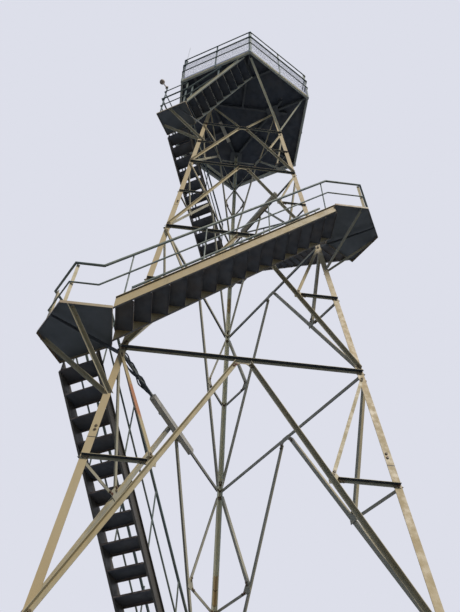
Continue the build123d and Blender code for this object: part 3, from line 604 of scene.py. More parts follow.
class NodeGroup(NodeTree):
    """Geometry Nodes tree under construction, with a material among its inputs."""

    def __init__(self, name: str, lengths: tuple[str, ...] = (), counts: tuple[str, ...] = ()) -> None:
        """Start an empty tree that takes and gives a geometry.

        Args:
            name: Name of the tree.
            lengths: Names of its inputs that hold a length.
            counts: Names of its inputs that hold a whole number.
        """
        super().__init__(bpy.data.node_groups.new(name, "GeometryNodeTree"))
        self.keys: dict[str, str] = {}
        kinds = [("Geometry", "Geometry"), *((label, "Float") for label in lengths),
                 *((label, "Int") for label in counts), ("Material", "Material")]
        for label, kind in kinds:
            made = self.tree.interface.new_socket(
                name=label, in_out="INPUT", socket_type=f"NodeSocket{kind}")
            self.keys[label] = made.identifier
        self.tree.interface.new_socket(name="Geometry", in_out="OUTPUT", socket_type="NodeSocketGeometry")
        self.source = self.node("NodeGroupInput")
        self.result = self.node("NodeGroupOutput")

    def given(self, name: str) -> bpy.types.NodeSocket:
        """Socket of a named input."""
        return self.source.outputs[name]

    def stored(self, name: str, kind: str) -> bpy.types.NodeSocket:
        """Values that the mesh holds for each of its points."""
        return self.node("GeometryNodeInputNamedAttribute", {"Name": name}, data_type=kind).outputs[0]

    def upwards(self, first: object, second: object) -> bpy.types.NodeSocket:
        """Upright vector as long as the product of two values."""
        length = self.node("ShaderNodeMath", {0: first, 1: second}, operation="MULTIPLY")
        return self.node("ShaderNodeCombineXYZ", {"Z": length.outputs[0]}).outputs[0]

    def prism(self, sides: int, radius: str, height: str) -> bpy.types.NodeSocket:
        """Upright prism that stands on the ground plane.

        Args:
            sides: Number of its sides.
            radius: Input that holds its radius.
            height: Input that holds its height.

        Returns:
            The prism's geometry.
        """
        made = self.node("GeometryNodeMeshCylinder", {
            "Vertices": sides, "Radius": self.given(radius), "Depth": self.given(height)})
        return self.node("GeometryNodeTransform", {
            "Geometry": made.outputs["Mesh"], "Translation": self.upwards(self.given(height), 0.5),
        }).outputs[0]

    def tubes(self, line: bpy.types.NodeSocket, sides: object, radius: object,
              width: object = 1.0) -> bpy.types.NodeSocket:
        """Capped tubes along curves.

        Args:
            line: The curves.
            sides: Faces round a tube.
            radius: Radius of the tubes.
            width: Factor on that radius at each point.

        Returns:
            The tubes' geometry.
        """
        profile = self.node("GeometryNodeCurvePrimitiveCircle", {"Resolution": sides, "Radius": radius})
        return self.node("GeometryNodeCurveToMesh", {
            "Curve": line, "Profile Curve": profile.outputs[0], "Scale": width, "Fill Caps": True,
        }).outputs[0]

    def line(self) -> bpy.types.NodeSocket:
        """Curves along the edges of the mesh."""
        return self.node("GeometryNodeMeshToCurve", {0: self.given("Geometry")}).outputs[0]

    def join(self, *parts: bpy.types.NodeSocket) -> bpy.types.NodeSocket:
        """One geometry from several."""
        made = self.node("GeometryNodeJoinGeometry")
        for part in parts:
            self.feed(made.inputs[0], part)
        return made.outputs[0]

    def close(self, geometry: bpy.types.NodeSocket) -> "NodeGroup":
        """Make instances real, give them the material input and hand over the finished tree."""
        real = self.node("GeometryNodeRealizeInstances", {0: geometry})
        dressed = self.node("GeometryNodeSetMaterial", {
            0: real.outputs[0], "Material": self.given("Material")})
        self.feed(self.result.inputs[0], dressed.outputs[0])
        return self


def placed(name: str, data: bpy.types.ID) -> bpy.types.Object:
    """Object in the scene with the given data."""
    made = bpy.data.objects.new(name, data)
    bpy.context.scene.collection.objects.link(made)
    return made


def grown(name: str, mesh: bpy.types.Mesh, group: NodeGroup,
          values: dict[str, object]) -> bpy.types.Object:
    """Run a Geometry Nodes tree on a mesh and keep the result as a plain mesh.

    Args:
        name: Name of the piece.
        mesh: Mesh that the tree starts from.
        group: The tree.
        values: Its inputs by name.

    Returns:
        The finished object, at the origin.
    """
    piece = placed(name, mesh)
    modifier = piece.modifiers.new("growth", "NODES")
    modifier.node_group = group.tree
    for key, value in values.items():
        modifier[group.keys[key]] = value
    bpy.context.view_layer.update()
    made = bpy.data.meshes.new_from_object(piece.evaluated_get(bpy.context.evaluated_depsgraph_get()))
    piece.modifiers.clear()
    piece.data = made
    made.name = name
    return piece


def hand_over(piece: bpy.types.Object) -> bpy.types.Object:
    """Let a finished piece ride on the tower and report it."""
    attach(piece, "root")
    LOG.info("%s: %d faces", piece.name, len(piece.data.polygons))
    return piece


@dataclass
class HexBolts:
    """Hexagon heads on round washers with a stud end, set at given sites."""

    across_flats: float = 0.027
    head_height: float = 0.012
    washer_radius: float = 0.019
    washer_thickness: float = 0.003
    stud_radius: float = 0.00675
    stud_height: float = 0.012
    head_sides: int = 6
    washer_sides: int = 12
    stud_sides: int = 8

    def __post_init__(self) -> None:
        """Build the tree that sets one fastener on each point."""
        group = NodeGroup("hex_bolts", ("Head radius", "Head height", "Washer radius", "Washer thickness",
                                        "Stud radius", "Stud height"))
        fastener = group.join(
            group.prism(self.head_sides, "Head radius", "Head height"),
            group.prism(self.washer_sides, "Washer radius", "Washer thickness"),
            group.prism(self.stud_sides, "Stud radius", "Stud height"),
        )
        turned = group.node("FunctionNodeAlignRotationToVector", {
            "Vector": group.stored("aim", "FLOAT_VECTOR")}, axis="Z")
        set_out = group.node("GeometryNodeInstanceOnPoints", {
            "Points": group.given("Geometry"), "Instance": fastener, "Rotation": turned.outputs[0]})
        self.group = group.close(set_out.outputs[0])

    def build(self, name: str, sites: list[Site], material: bpy.types.Material, slot: Slot) -> None:
        """Set the fasteners and hand them over as one piece.

        Args:
            name: Name of the piece.
            sites: Where the fasteners go.
            material: Their finish.
            slot: Slot of that finish; not used.
        """
        mesh = bpy.data.meshes.new(name)
        mesh.from_pydata([site.point for site in sites], [], [])
        aims = mesh.attributes.new("aim", "FLOAT_VECTOR", "POINT")
        aims.data.foreach_set("vector", [value for site in sites for value in site.normal])
        piece = grown(name, mesh, self.group, {
            "Head radius": self.across_flats / math.sqrt(3),
            "Head height": self.head_height,
            "Washer radius": self.washer_radius,
            "Washer thickness": self.washer_thickness,
            "Stud radius": self.stud_radius,
            "Stud height": self.stud_height,
            "Material": material,
        })
        hand_over(piece)


@dataclass
class Fasteners:
    """Bolts and nuts of the bracing, the leg splices and the base plates."""

    shape: TowerShape
    end_distances: tuple[float, ...] = (0.026, 0.068)
    leg_line: float = 0.055
    splice_offsets: tuple[float, ...] = (0.325, 0.385)
    anchor_outer: float = 0.075
    anchor_inner: float = 0.110
    anchor_side: float = 0.115

    def bar_sites(self) -> tuple[list[Site], list[Site]]:
        """Heads and nuts at both ends of every bar.

        Returns:
            Sites of the heads outside and of the nuts inside.
        """
        heads: list[Site] = []
        nuts: list[Site] = []
        for bar in self.shape.bars():
            outward = self.shape.face_normal(bar.azimuth)
            ends = ((bar.start, bar.end, bar.start_backing), (bar.end, bar.start, bar.end_backing))
            for distance in self.end_distances:
                for near, far, backing in ends:
                    place = along(near, far, distance)
                    heads.append(Site(self.shape.on_face(bar.azimuth, *place, -bar.thickness), outward))
                    nuts.append(Site(self.shape.on_face(bar.azimuth, *place, backing), -outward))
        return heads, nuts

    def splice_sites(self) -> list[Site]:
        """Heads on the leg flanges over the cover plates inside the legs."""
        sites: list[Site] = []
        heights = [base + offset for base in self.shape.splice_heights for offset in self.splice_offsets]
        for azimuth in self.shape.face_azimuths:
            for height in heights:
                line, up = self.shape.width_at(height) / 2 - self.leg_line, self.shape.up_face(height)
                for turn in Turn:
                    point = self.shape.on_face(azimuth, turn.value * line, up, 0.0)
                    sites.append(Site(point, self.shape.face_normal(azimuth)))
        return sites

    def anchor_sites(self) -> list[Site]:
        """Nuts on the base plates, three for each leg."""
        sites: list[Site] = []
        for azimuth in self.shape.corner_azimuths:
            foot = polar(azimuth, self.shape.corner_radius(0.0), self.shape.base_plate_thickness)
            outward, sideways = polar(azimuth, 1.0), polar(azimuth + 90, 1.0)
            places = [outward * self.anchor_outer]
            places += [sideways * turn.value * self.anchor_side - outward * self.anchor_inner
                       for turn in Turn]
            sites += [Site(foot + place, UP) for place in places]
        return sites

    def build(self, steel: bpy.types.Material, zinc: bpy.types.Material) -> None:
        """Make all the fasteners.

        Args:
            steel: Finish of the bolts in the frame.
            zinc: Finish of the anchor nuts.
        """
        heads, nuts = self.bar_sites()
        bolts = HexBolts()
        bolts.build("bracing_bolt_heads", heads, steel, Slot.FRAME_PAINT)
        bolts.build("bracing_nuts", nuts, steel, Slot.FRAME_PAINT)
        bolts.build("splice_bolt_heads", self.splice_sites(), steel, Slot.LEG_PAINT)
        anchors = HexBolts(across_flats=0.036, head_height=0.020, washer_radius=0.027,
                           washer_thickness=0.004, stud_radius=0.012, stud_height=0.048)
        anchors.build("anchor_nuts", self.anchor_sites(), zinc, Slot.GALVANISED)


@dataclass(frozen=True)
class Run:
    """Round tube along a chain of points."""

    points: list[Vector]
    radius: float


class Pipework:
    """Round tubes along chains of points, each with a radius of its own."""

    def __init__(self) -> None:
        """Build the tree once for all the pieces that use it."""
        group = NodeGroup("pipework", counts=("Sides",))
        self.group = group.close(group.tubes(
            group.line(), group.given("Sides"), 1.0, group.stored("width", "FLOAT")))

    def build(self, name: str, runs: list[Run], sides: int, material: bpy.types.Material,
              slot: Slot) -> bpy.types.Object:
        """Make the tubes and hand them over as one piece.

        Args:
            name: Name of the piece.
            runs: Its tubes.
            sides: Faces round a tube.
            material: Their finish.
            slot: Slot of that finish; not used.

        Returns:
            The piece.
        """
        points: list[Vector] = []
        edges: list[tuple[int, int]] = []
        widths: list[float] = []
        for run in runs:
            first = len(points)
            points += run.points
            widths += [run.radius] * len(run.points)
            edges += [(first + k, first + k + 1) for k in range(len(run.points) - 1)]
        mesh = bpy.data.meshes.new(name)
        mesh.from_pydata(points, edges, [])
        mesh.attributes.new("width", "FLOAT", "POINT").data.foreach_set("value", widths)
        piece = grown(name, mesh, self.group, {"Sides": sides, "Material": material})
        piece.data.polygons.foreach_set("use_smooth", [True] * len(piece.data.polygons))
        return hand_over(piece)


@dataclass(frozen=True)
class Flight:
    """One flight of the stair, seen along its face."""

    azimuth: float
    low: float
    start: float
    end: float
    inner: float
    bend: float
    slope: float
    tread_slope: float
    rise: float

    def point(self, place: float, height: float, distance: float) -> Vector:
        """Point at a place along the flight, a height and a distance from the axis."""
        return polar(self.azimuth, distance, height) + polar(self.azimuth + 90, place)

    def rail_point(self, place: float, height: float, distance: float) -> Vector:
        """Point of a rail that stands a height over the landing where it leaves the level."""
        return self.point(place, self.low + height + (place - self.bend) * self.slope, distance)


@dataclass
class StairRails:
    """Rails on both sides of the lower flights, with thin upright rods."""

    shape: TowerShape
    stair_clearance: float = 0.100
    wide_clearance: float = 0.253
    end_clearance: float = 0.100
    stair_width: float = 0.575
    last_flight_inset: float = 0.055
    risers: tuple[int, ...] = (20, 17, 16, 14, 11)
    nosing_margin: float = 0.012
    low_bend: float = 0.260
    high_bend: float = 0.080
    rail_height: float = 0.890
    mid_rail_height: float = 0.450
    inner_drop: float = 0.030
    rail_radius: float = 0.020
    mid_rail_radius: float = 0.013
    post_end: float = 0.090
    post_spacing: float = 1.150
    post_radius: float = 0.011
    outer_sides: int = 16
    inner_sides: int = 12

    def levels(self) -> tuple[Pair, Pair]:
        """Height and radius of the hand rail and of the middle rail."""
        return (self.rail_height, self.rail_radius), (self.mid_rail_height, self.mid_rail_radius)

    def flights(self) -> list[Flight]:
        """Flights that have rails on both sides.

        Returns:
            The five lower flights, from the ground up.
        """
        found: list[Flight] = []
        levels = (0.0, *self.shape.landings)
        for index, count in enumerate(self.risers):
            low, high = levels[index], levels[index + 1]
            start = -self.shape.width_at(low) / 2 - self.end_clearance
            end = self.shape.width_at(high) / 2 + self.end_clearance
            inner = self.shape.face_distance(low) + self.stair_clearance
            if high == levels[-1]:
                inner = self.shape.face_distance(low) + self.wide_clearance
                side = self.shape.platform_radius * HEXAGON_FLAT
                end = side - self.last_flight_inset - self.stair_width
            bend = start - self.low_bend
            slope = (high - low) / (end - self.high_bend - bend)
            rise = (high - low) / count
            azimuth = self.shape.stair_azimuths[index % len(self.shape.stair_azimuths)]
            found.append(Flight(azimuth, low, start, end, inner, bend, slope,
                                rise * (count - 1) / (end - start), rise))
        return found

    def rails(self, flight: Flight, first: float, side: float, outward: int, drop: float) -> list[Run]:
        """Hand rail and middle rail over one stringer.

        Args:
            flight: Flight that they follow.
            first: Place along the flight where they start.
            side: Distance of the stringer's outer edge from the axis.
            outward: 1 over the outer stringer, -1 over the inner one.
            drop: Length by which they are lower than the solid rails.

        Returns:
            The two rails.
        """
        last = flight.end - self.high_bend
        found: list[Run] = []
        for height, radius in self.levels():
            distance = side - outward * (self.rail_radius - radius)
            points = [flight.rail_point(place, height - drop, distance) for place in (first, last)]
            found.append(Run(points, radius))
        return found

    def posts(self, flight: Flight, distance: float, drop: float) -> list[Run]:
        """Thin upright rods from a stringer to its hand rail.

        Args:
            flight: Flight that they stand on.
            distance: Distance of their middles from the axis.
            drop: Length by which the rail is lower than the solid one.

        Returns:
            The rods.
        """
        first, last = flight.start + self.post_end, flight.end - self.high_bend - self.post_end
        spaces = math.ceil((last - first) / self.post_spacing)
        found: list[Run] = []
        for k in range(spaces + 1):
            place = first + (last - first) * k / spaces
            foot = flight.low + flight.rise + self.nosing_margin
            foot += (place - flight.start) * flight.tread_slope
            head = flight.rail_point(place, self.rail_height - drop, distance)
            found.append(Run([flight.point(place, foot, distance), head], self.post_radius))
        return found

    def build(self, pipes: Pipework, material: bpy.types.Material) -> None:
        """Make the rails of the outer side, one piece for each railing, and those of the inner side.

        Args:
            pipes: Maker of the tubes.
            material: Finish of the rails.
        """
        inner: list[Run] = []
        for number, flight in enumerate(self.flights(), start=1):
            outer_side = flight.inner + self.stair_width
            beside = self.rail_radius + self.post_radius
            runs = self.rails(flight, flight.bend, outer_side, 1, 0.0)
            runs += self.posts(flight, outer_side - beside, 0.0)
            name = f"flight_{number}_rails"
            railing = pipes.build(name, runs, self.outer_sides, material, Slot.RAIL_PAINT)
            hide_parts(f"flight_{number}_railing")
            inner_side = flight.inner + self.rail_radius
            inner += self.rails(flight, flight.start + self.post_end, inner_side, -1, self.inner_drop)
            inner += self.posts(flight, inner_side, self.inner_drop)
        pipes.build("inner_rails", inner, self.inner_sides, material, Slot.RAIL_PAINT)


def meet(first: Pair, second: Pair, height: float) -> Vector:
    """Point where two upright planes meet at a height.

    Args:
        first: Azimuth of one plane's normal and its distance from the axis.
        second: The same for the other plane.
        height: Height of the point.

    Returns:
        The point.
    """
    a, b = math.radians(first[0]), math.radians(second[0])
    turn = math.cos(a) * math.sin(b) - math.sin(a) * math.cos(b)
    x = (first[1] * math.sin(b) - second[1] * math.sin(a)) / turn
    y = (second[1] * math.cos(a) - first[1] * math.cos(b)) / turn
    return Vector((x, y, height))


@dataclass
class LandingRails:
    """Rails round the outer edges of the four lower landings, on angle posts."""

    stair: StairRails
    landing_reach: float = 1.010
    landing_overhang: float = 0.025
    post_bar: float = 0.045
    post_wall: float = 0.005
    corner_turn: float = 60.0

    def edges(self, arriving: Flight, leaving: Flight) -> list[Pair]:
        """Azimuths and distances of a landing's three outer edges."""
        cut = self.stair.shape.corner_radius(leaving.low) + self.landing_reach - self.landing_overhang
        width = self.stair.stair_width
        return [(arriving.azimuth, arriving.inner + width), (arriving.azimuth + self.corner_turn, cut),
                (leaving.azimuth, leaving.inner + width)]

    def rails(self, arriving: Flight, leaving: Flight) -> list[Run]:
        """Hand rail and middle rail between two flights.

        Args:
            arriving: Flight from below.
            leaving: Flight that goes on.

        Returns:
            The two rails.
        """
        stair = self.stair
        found: list[Run] = []
        for height, radius in stair.levels():
            lines = [(azimuth, distance - stair.rail_radius + radius)
                     for azimuth, distance in self.edges(arriving, leaving)]
            level = leaving.low + height
            points = [
                arriving.rail_point(arriving.end - stair.high_bend, height, lines[0][1]),
                meet(lines[0], lines[1], level),
                meet(lines[1], lines[2], level),
                leaving.rail_point(leaving.bend, height, lines[2][1]),
            ]
            found.append(Run(points, radius))
        return found

    def angle_posts(self, arriving: Flight, leaving: Flight) -> list[tuple[Vector, float]]:
        """Places and azimuths of the angle posts at a landing's outer corners."""
        lines = [(azimuth, distance - self.stair.rail_radius)
                 for azimuth, distance in self.edges(arriving, leaving)]
        return [(meet(line, after, leaving.low), line[0] + self.corner_turn / 2)
                for line, after in zip(lines, lines[1:])]

    def angle_mesh(self, places: list[tuple[Vector, float]]) -> bpy.types.Mesh:
        """Upright angle bars with their edges outwards.

        Args:
            places: Foot of each bar's edge and the azimuth that it looks to.

        Returns:
            One mesh of them all.
        """
        reach, wall = self.post_bar / math.sqrt(2), self.post_wall * math.sqrt(2)
        section = [(0.0, 0.0), (-reach, reach), (-reach - wall / 2, reach - wall / 2), (-wall, 0.0),
                   (-reach - wall / 2, wall / 2 - reach), (-reach, -reach)]
        points: list[Vector] = []
        faces: list[tuple[int, ...]] = []
        count = len(section)
        for foot, azimuth in places:
            first = len(points)
            outward, sideways = polar(azimuth, 1.0), polar(azimuth + 90, 1.0)
            for height in (0.0, self.stair.rail_height):
                points += [foot + outward * x + sideways * y + UP * height for x, y in section]
            faces.append(tuple(first + k for k in reversed(range(count))))
            faces.append(tuple(first + count + k for k in range(count)))
            for k in range(count):
                after = (k + 1) % count
                faces.append((first + k, first + after, first + count + after, first + count + k))
        mesh = bpy.data.meshes.new("landing_posts")
        mesh.from_pydata(points, [], faces)
        return mesh

    def build(self, pipes: Pipework, rail: bpy.types.Material, post: bpy.types.Material) -> None:
        """Make the rails of each landing and the posts of all of them.

        Args:
            pipes: Maker of the tubes.
            rail: Finish of the rails.
            post: Finish of the angle posts.
        """
        flights = self.stair.flights()
        places: list[tuple[Vector, float]] = []
        for number, (arriving, leaving) in enumerate(zip(flights, flights[1:]), start=1):
            runs = self.rails(arriving, leaving)
            name = f"landing_{number}_rails"
            railing = pipes.build(name, runs, self.stair.outer_sides, rail, Slot.RAIL_PAINT)
            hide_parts(f"landing_{number}_railing")
            places += self.angle_posts(arriving, leaving)
        mesh = self.angle_mesh(places)
        mesh.materials.append(post)
        hand_over(placed("landing_posts", mesh))


@dataclass
class WoundCables:
    """Old cables wound loosely round the left level bar, from the west leg to the lower cable box."""

    shape: TowerShape
    azimuth: float = 150.0
    height: float = 8.060
    far_end: float = 1.560
    box_end: float = 0.775
    box_drop: float = 0.100
    box_depth: float = 0.050
    middle: float = 0.024
    reach: float = 0.046
    cable_radius: float = 0.010
    turns: tuple[float, ...] = (0.7, 1.2, 0.5, 0.9)
    looseness: float = 0.15
    waves: int = 3
    drop_share: float = 0.25
    steps: int = 48
    sides: int = 8

    def route(self, turns: float, phase: float) -> list[Vector]:
        """Middle line of one cable.

        Args:
            turns: Times that it goes round the bar.
            phase: Part of a turn at which it starts.

        Returns:
            Its points.
        """
        points: list[Vector] = []
        up = self.shape.up_face(self.height)
        for k in range(self.steps + 1):
            share = k / self.steps
            angle = 2 * math.pi * (turns * share + phase)
            reach = self.reach * (1 + self.looseness * math.sin(self.waves * angle / turns))
            across = self.far_end + (self.box_end - self.far_end) * share
            end = max(0.0, (share - 1) / self.drop_share + 1)
            rise = reach * math.sin(angle) * (1 - end) - self.box_drop * end
            depth = (reach * math.cos(angle) - self.middle) * (1 - end) + self.box_depth * end
            points.append(self.shape.on_face(self.azimuth, across, up + rise, depth))
        return points

    def build(self, pipes: Pipework, material: bpy.types.Material) -> None:
        """Make the cables.

        Args:
            pipes: Maker of the tubes.
            material: Finish of their sheath.
        """
        routes = [Run(self.route(turns, k / len(self.turns)), self.cable_radius)
                  for k, turns in enumerate(self.turns)]
        pipes.build("wound_cables", routes, self.sides, material, Slot.FITTING_PLASTIC)


@dataclass
class GuardMesh:
    """Welded wire mesh between the platform's edge and its rails."""

    shape: TowerShape
    outset: float = 0.010
    kick_top: float = 0.230
    low_rail: float = 0.780
    high_rail: float = 1.320
    close_pitch: float = 0.030
    open_pitch: float = 0.036
    wire_radius: float = 0.0014
    wire_sides: int = 4
    platform_sides: int = 6

    def tree(self) -> NodeGroup:
        """Build the tree that fills a band over a chain of edges with crossing wires.

        Returns:
            The tree.
        """
        group = NodeGroup("wire_mesh", ("Pitch", "Height", "Wire radius"), ("Rows",))
        line = group.line()
        spaced = group.node("GeometryNodeResampleCurve", {
            "Curve": line, "Length": group.given("Pitch")}, mode="LENGTH")
        wire = group.prism(self.wire_sides, "Wire radius", "Height")
        posts = group.node("GeometryNodeInstanceOnPoints", {"Points": spaced.outputs[0], "Instance": wire})
        copies = group.node("GeometryNodeDuplicateElements", {
            "Geometry": line, "Amount": group.given("Rows")}, domain="SPLINE")
        lift = group.upwards(copies.outputs["Duplicate Index"], group.given("Pitch"))
        raised = group.node("GeometryNodeSetPosition", {
            "Geometry": copies.outputs["Geometry"], "Offset": lift})
        level = group.tubes(raised.outputs[0], self.wire_sides, group.given("Wire radius"))
        return group.close(group.join(posts.outputs[0], level))

    def chain(self, height: float) -> bpy.types.Mesh:
        """Closed hexagon of edges along the rails at a height."""
        radius = self.shape.platform_radius + self.outset / HEXAGON_FLAT
        level, count = self.shape.platform_underside + height, self.platform_sides
        corners = [polar((k + 0.5) * 360 / count, radius, level) for k in range(count)]
        mesh = bpy.data.meshes.new("mesh_line")
        mesh.from_pydata(corners, [(k, (k + 1) % count) for k in range(count)], [])
        return mesh

    def build(self, material: bpy.types.Material) -> None:
        """Make the close band under the second rail and the open one below it.

        Args:
            material: Finish of the wires.
        """
        group = self.tree()
        bands = (
            ("guard_mesh_lower", self.kick_top, self.low_rail, self.open_pitch),
            ("guard_mesh_upper", self.low_rail, self.high_rail, self.close_pitch),
        )
        for name, low, high, pitch in bands:
            piece = grown(name, self.chain(low), group, {
                "Pitch": pitch,
                "Height": high - low,
                "Wire radius": self.wire_radius,
                "Rows": int((high - low) / pitch) + 1,
                "Material": material,
            })
            hand_over(piece)


@dataclass
class Studio:
    """Pale floor and background, soft key light and the camera."""

    floor_reach: float = 160.0
    floor_seen: Colour = srgb(226, 226, 228)
    floor_lit: Colour = srgb(62, 73, 88)
    floor_roughness: float = 0.9
    sky_seen: Colour = srgb(221, 223, 234)
    sky_light: Colour = srgb(172, 202, 252)
    sky_strength: float = 0.38
    key_azimuth: float = 302.0
    key_elevation: float = 46.0
    key_strength: float = 2.42
    key_spread: float = 14.0
    key_colour: Triple = (1.0, 0.965, 0.90)
    camera_place: Triple = (-0.7306, -6.6819, 1.5989)
    camera_turn: Triple = (143.055, -1.204, -6.884)
    camera_reach: float = 400.0
    lens: float = 37.98

    def seen_share(self, tree: NodeTree) -> bpy.types.NodeSocket:
        """Share that is 1 for what the camera, a reflection or a clear material shows directly."""
        path = tree.node("ShaderNodeLightPath")
        share = path.outputs["Is Camera Ray"]
        for name in ("Is Glossy Ray", "Is Transmission Ray"):
            both = tree.node("ShaderNodeMath", {0: share, 1: path.outputs[name]}, operation="MAXIMUM")
            share = both.outputs[0]
        return share

    def floor(self) -> None:
        """Lay the floor."""
        reach = self.floor_reach
        mesh = bpy.data.meshes.new("floor")
        mesh.from_pydata([(-reach, -reach, 0), (reach, -reach, 0), (reach, reach, 0), (-reach, reach, 0)],
                         [], [(0, 1, 2, 3)])
        tree = ShaderTree("floor")
        colour = tree.mix(self.seen_share(tree), self.floor_lit, self.floor_seen)
        mesh.materials.append(tree.dress(colour, self.floor_roughness))
        placed("floor", mesh)

    def sky(self) -> None:
        """Light from all round, with a pale even background."""
        world = bpy.data.worlds.new("pale_sky")
        bpy.context.scene.world = world
        world.use_nodes = True
        tree = NodeTree(world.node_tree)
        ambient = world.node_tree.nodes["Background"]
        tree.feed(ambient.inputs["Color"], self.sky_light)
        tree.feed(ambient.inputs["Strength"], self.sky_strength)
        seen = tree.node("ShaderNodeBackground", {"Color": self.sky_seen})
        mix = tree.node("ShaderNodeMixShader", {
            0: self.seen_share(tree), 1: ambient.outputs[0], 2: seen.outputs[0]})
        tree.feed(world.node_tree.nodes["World Output"].inputs["Surface"], mix.outputs[0])

    def key_light(self) -> None:
        """Wide sun from the front right."""
        light = bpy.data.lights.new("key", "SUN")
        light.energy = self.key_strength
        light.angle = math.radians(self.key_spread)
        light.color = self.key_colour
        lamp = placed("key", light)
        rise = math.radians(self.key_elevation)
        towards = polar(self.key_azimuth, math.cos(rise), math.sin(rise))
        lamp.rotation_mode = "QUATERNION"
        lamp.rotation_quaternion = towards.to_track_quat("Z", "Y")

    def camera(self) -> None:
        """Camera near the foot of the tower, looking steeply up."""
        data = bpy.data.cameras.new("camera")
        data.lens = self.lens
        data.clip_end = self.camera_reach
        camera = placed("camera", data)
        camera.location = self.camera_place
        camera.rotation_euler = [math.radians(angle) for angle in self.camera_turn]
        bpy.context.scene.camera = camera

    def build(self) -> None:
        """Set up the whole studio."""
        self.camera()
        self.floor()
        self.sky()
        self.key_light()
        bpy.context.scene.view_settings.view_transform = "Standard"


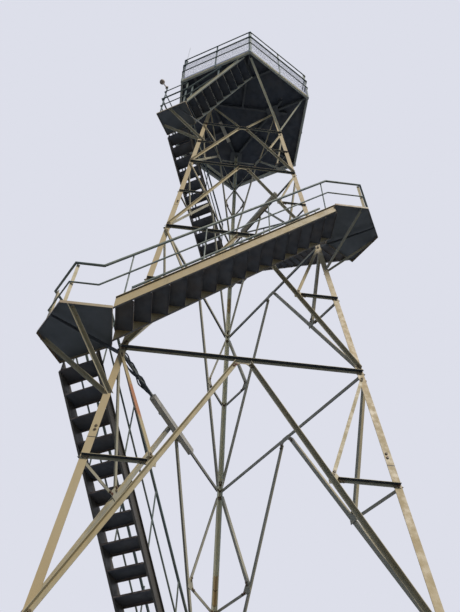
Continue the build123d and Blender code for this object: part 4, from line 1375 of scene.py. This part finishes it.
@dataclass
class Finishes:
    """All the finishes of the tower and the CAD nodes that wear them."""

    shape: TowerShape
    rust_spot: Triple = (-1.32, -0.99, 7.13)

    def __post_init__(self) -> None:
        """Build every material once."""
        joints = (self.shape.foot_joint, *self.shape.landings)
        seams = tuple(height + self.shape.splice_length / 2 for height in self.shape.splice_heights)
        # Painted shade: the first colour darkens the frame's undersides, the second darkens the stringers'
        # undersides and inward faces.
        shade, stringer_shade = srgb(50, 56, 60), srgb(84, 78, 68)
        leg = PaintedSteel("leg_paint", srgb(197, 170, 120), srgb(201, 178, 131), Cloud(0.5, 5.0, 0.6),
                           joint_heights=joints, seam_heights=seams, dirt_share=0.15)
        # Frame paint, with painted shade on the faces that point down.
        frame = PaintedSteel("frame_paint", srgb(188, 168, 122), srgb(196, 181, 142),
                             joint_heights=joints, painted_underside_shade=shade, underside_from=-0.72)
        self.leg = leg.material()
        # North leg: the pale colour on its faces towards the axis is painted light.
        self.north_leg = replace(leg, name="north_leg_painted_light", dirt_share=0.2,
                                 inner_painted_light=srgb(226, 220, 190)).material()
        # Greyer colour on the frame's faces towards the axis is painted shade.
        self.frame = replace(frame, inner_painted_light=srgb(178, 168, 138)).material()
        self.front = replace(frame, name="front_frame_paint", rust_spot=self.rust_spot).material()
        # Landing trays: the grey on the faces that point down is painted shade.
        self.tray = PaintedSteel("tray_paint", srgb(178, 150, 116), srgb(196, 178, 138), rust_from=0.58,
                                 rust=srgb(150, 96, 72), painted_underside_shade=srgb(116, 118, 114)).material()
        # Platform edge: cream paint lightened to near white, painted light.
        self.edge = PaintedSteel("edge_painted_light", srgb(238, 231, 204), srgb(232, 226, 200),
                                 dirt_share=0.2, rust_from=0.72).material()
        # Flight 6 stringers and platform struts: a paler cream than the other stringers, painted light on
        # parts that sit in shade.
        self.upper_stringer = PaintedSteel("upper_stringer_painted_light", srgb(232, 222, 186),
                                           srgb(224, 214, 180), dirt_share=0.25, rust_from=0.7).material()
        # Stringers: the dull brown on faces that point down and look towards the axis is painted shade.
        self.stringer = PaintedSteel("stringer_paint", srgb(190, 163, 111), srgb(196, 175, 128),
                                     rust_from=0.64, inner_painted_light=stringer_shade, painted_underside_shade=stringer_shade).material()
        # Beams and head plates: near-black grey paint standing in for the shade under the landings and
        # platform, painted shade.
        self.shaded = PaintedSteel("underframe_painted_shade", srgb(58, 60, 60), srgb(78, 80, 76),
                                   dirt=srgb(44, 46, 46), dirt_share=0.6, rust_from=0.7).material()
        self.rail = PaintedSteel("rail_paint", srgb(100, 112, 104), srgb(134, 138, 116),
                                 dirt=srgb(54, 64, 64), dirt_share=0.6).material()
        self.post = PaintedSteel("post_paint", srgb(196, 176, 130), srgb(204, 188, 148),
                                 dirt_share=0.4, rust_from=0.64).material()
        self.wire = PaintedSteel("wire_zinc", srgb(150, 152, 168), srgb(170, 172, 186),
                                 dirt_share=0.2, rust_from=0.8).material()
        self.sheath = PaintedSteel("cable_sheath", srgb(34, 42, 48), srgb(50, 58, 64),
                                   dirt=srgb(70, 70, 66), dirt_share=0.4, rust_from=0.9).material()
        self.bolt = PaintedSteel("bolt_paint", srgb(96, 80, 58), srgb(140, 122, 88),
                                 dirt=srgb(52, 42, 34), dirt_share=0.7, rust_from=0.54).material()
        # Cable boxes and deck lamp: partly their own pale paint, lightened further as painted light.
        self.box = PaintedSteel("box_paint", srgb(236, 219, 186), srgb(240, 226, 198)).material()
        self.lamp = PaintedSteel("lamp_housing", srgb(176, 150, 124), srgb(196, 176, 150),
                                 rust=srgb(136, 96, 70), rust_from=0.6).material()
        self.rod = PaintedSteel("antenna_white", srgb(226, 226, 224), srgb(208, 208, 204),
                                dirt_share=0.2, rust_from=0.8).material()
        # Floor plates and lower treads: their dark steel is partly its own tone and partly painted shade.
        self.plate = RolledPlate("floor_plate").material()
        self.tread = RolledPlate("tread_plate", srgb(128, 112, 96), srgb(84, 86, 88),
                                 srgb(92, 86, 80)).material()
        # Flight 6 treads: the pale cream lips are painted light.
        self.upper_tread = RolledPlate("upper_tread_plate", srgb(226, 220, 196)).material()
        self.zinc = ZincCoat("galvanised").material()

    def finish_of(self, node: str) -> bpy.types.Material:
        """Finish of a CAD node: that of the first pattern which fits its name.

        Args:
            node: Name of the node.

        Returns:
            The finish.
        """
        worn = (
            (self.north_leg, "leg_north"),
            (self.leg, "leg_*"),
            (self.zinc, "base_plates"),
            (self.upper_tread, "flight_6_treads"),
            (self.tread, "*_treads"),
            (self.plate, "platform_deck"),
            (self.plate, "hatch_lid"),
            (self.upper_stringer, "flight_6_stringers"),
            (self.upper_stringer, "platform_struts"),
            (self.stringer, "*_stringers"),
            (self.edge, "platform_edge"),
            (self.front, "front_bracing"),
            (self.wire, "kick_plates"),
            (self.shaded, "*_beams"),
            (self.shaded, "head_plates"),
            (self.rail, "*_railing"),
            (self.rail, "platform_rails"),
            (self.rail, "platform_posts"),
            (self.box, "cable_boxes"),
            (self.box, "deck_lamp"),
            (self.lamp, "corner_lamp"),
            (self.rod, "whip_antenna"),
            (self.tray, "landing_?"),
            (self.frame, "*"),
        )
        return next(material for material, pattern in worn if fnmatchcase(node, pattern))

    def dress_nodes(self, nodes: dict[str, bpy.types.Object]) -> None:
        """Put the finishes on the CAD nodes.

        Args:
            nodes: CAD objects by node name.
        """
        for name, node in nodes.items():
            material = self.finish_of(name)
            if not node.material_slots:
                node.data.materials.append(material)
            for place in node.material_slots:
                place.material = material
            LOG.info("%s wears %s", name, material.name)


def main() -> None:
    """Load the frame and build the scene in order."""
    logging.basicConfig(level=logging.INFO, format="%(name)s %(message)s")
    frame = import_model()
    shape = TowerShape()
    Studio().build()
    finishes = Finishes(shape)
    finishes.dress_nodes(frame["nodes"])
    Fasteners(shape).build(finishes.bolt, finishes.zinc)
    GuardMesh(shape).build(finishes.wire)
    pipes = Pipework()
    stair = StairRails(shape)
    stair.build(pipes, finishes.rail)
    LandingRails(stair).build(pipes, finishes.rail, finishes.post)
    WoundCables(shape).build(pipes, finishes.sheath)
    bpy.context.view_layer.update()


if __name__ == "__main__":
    main()
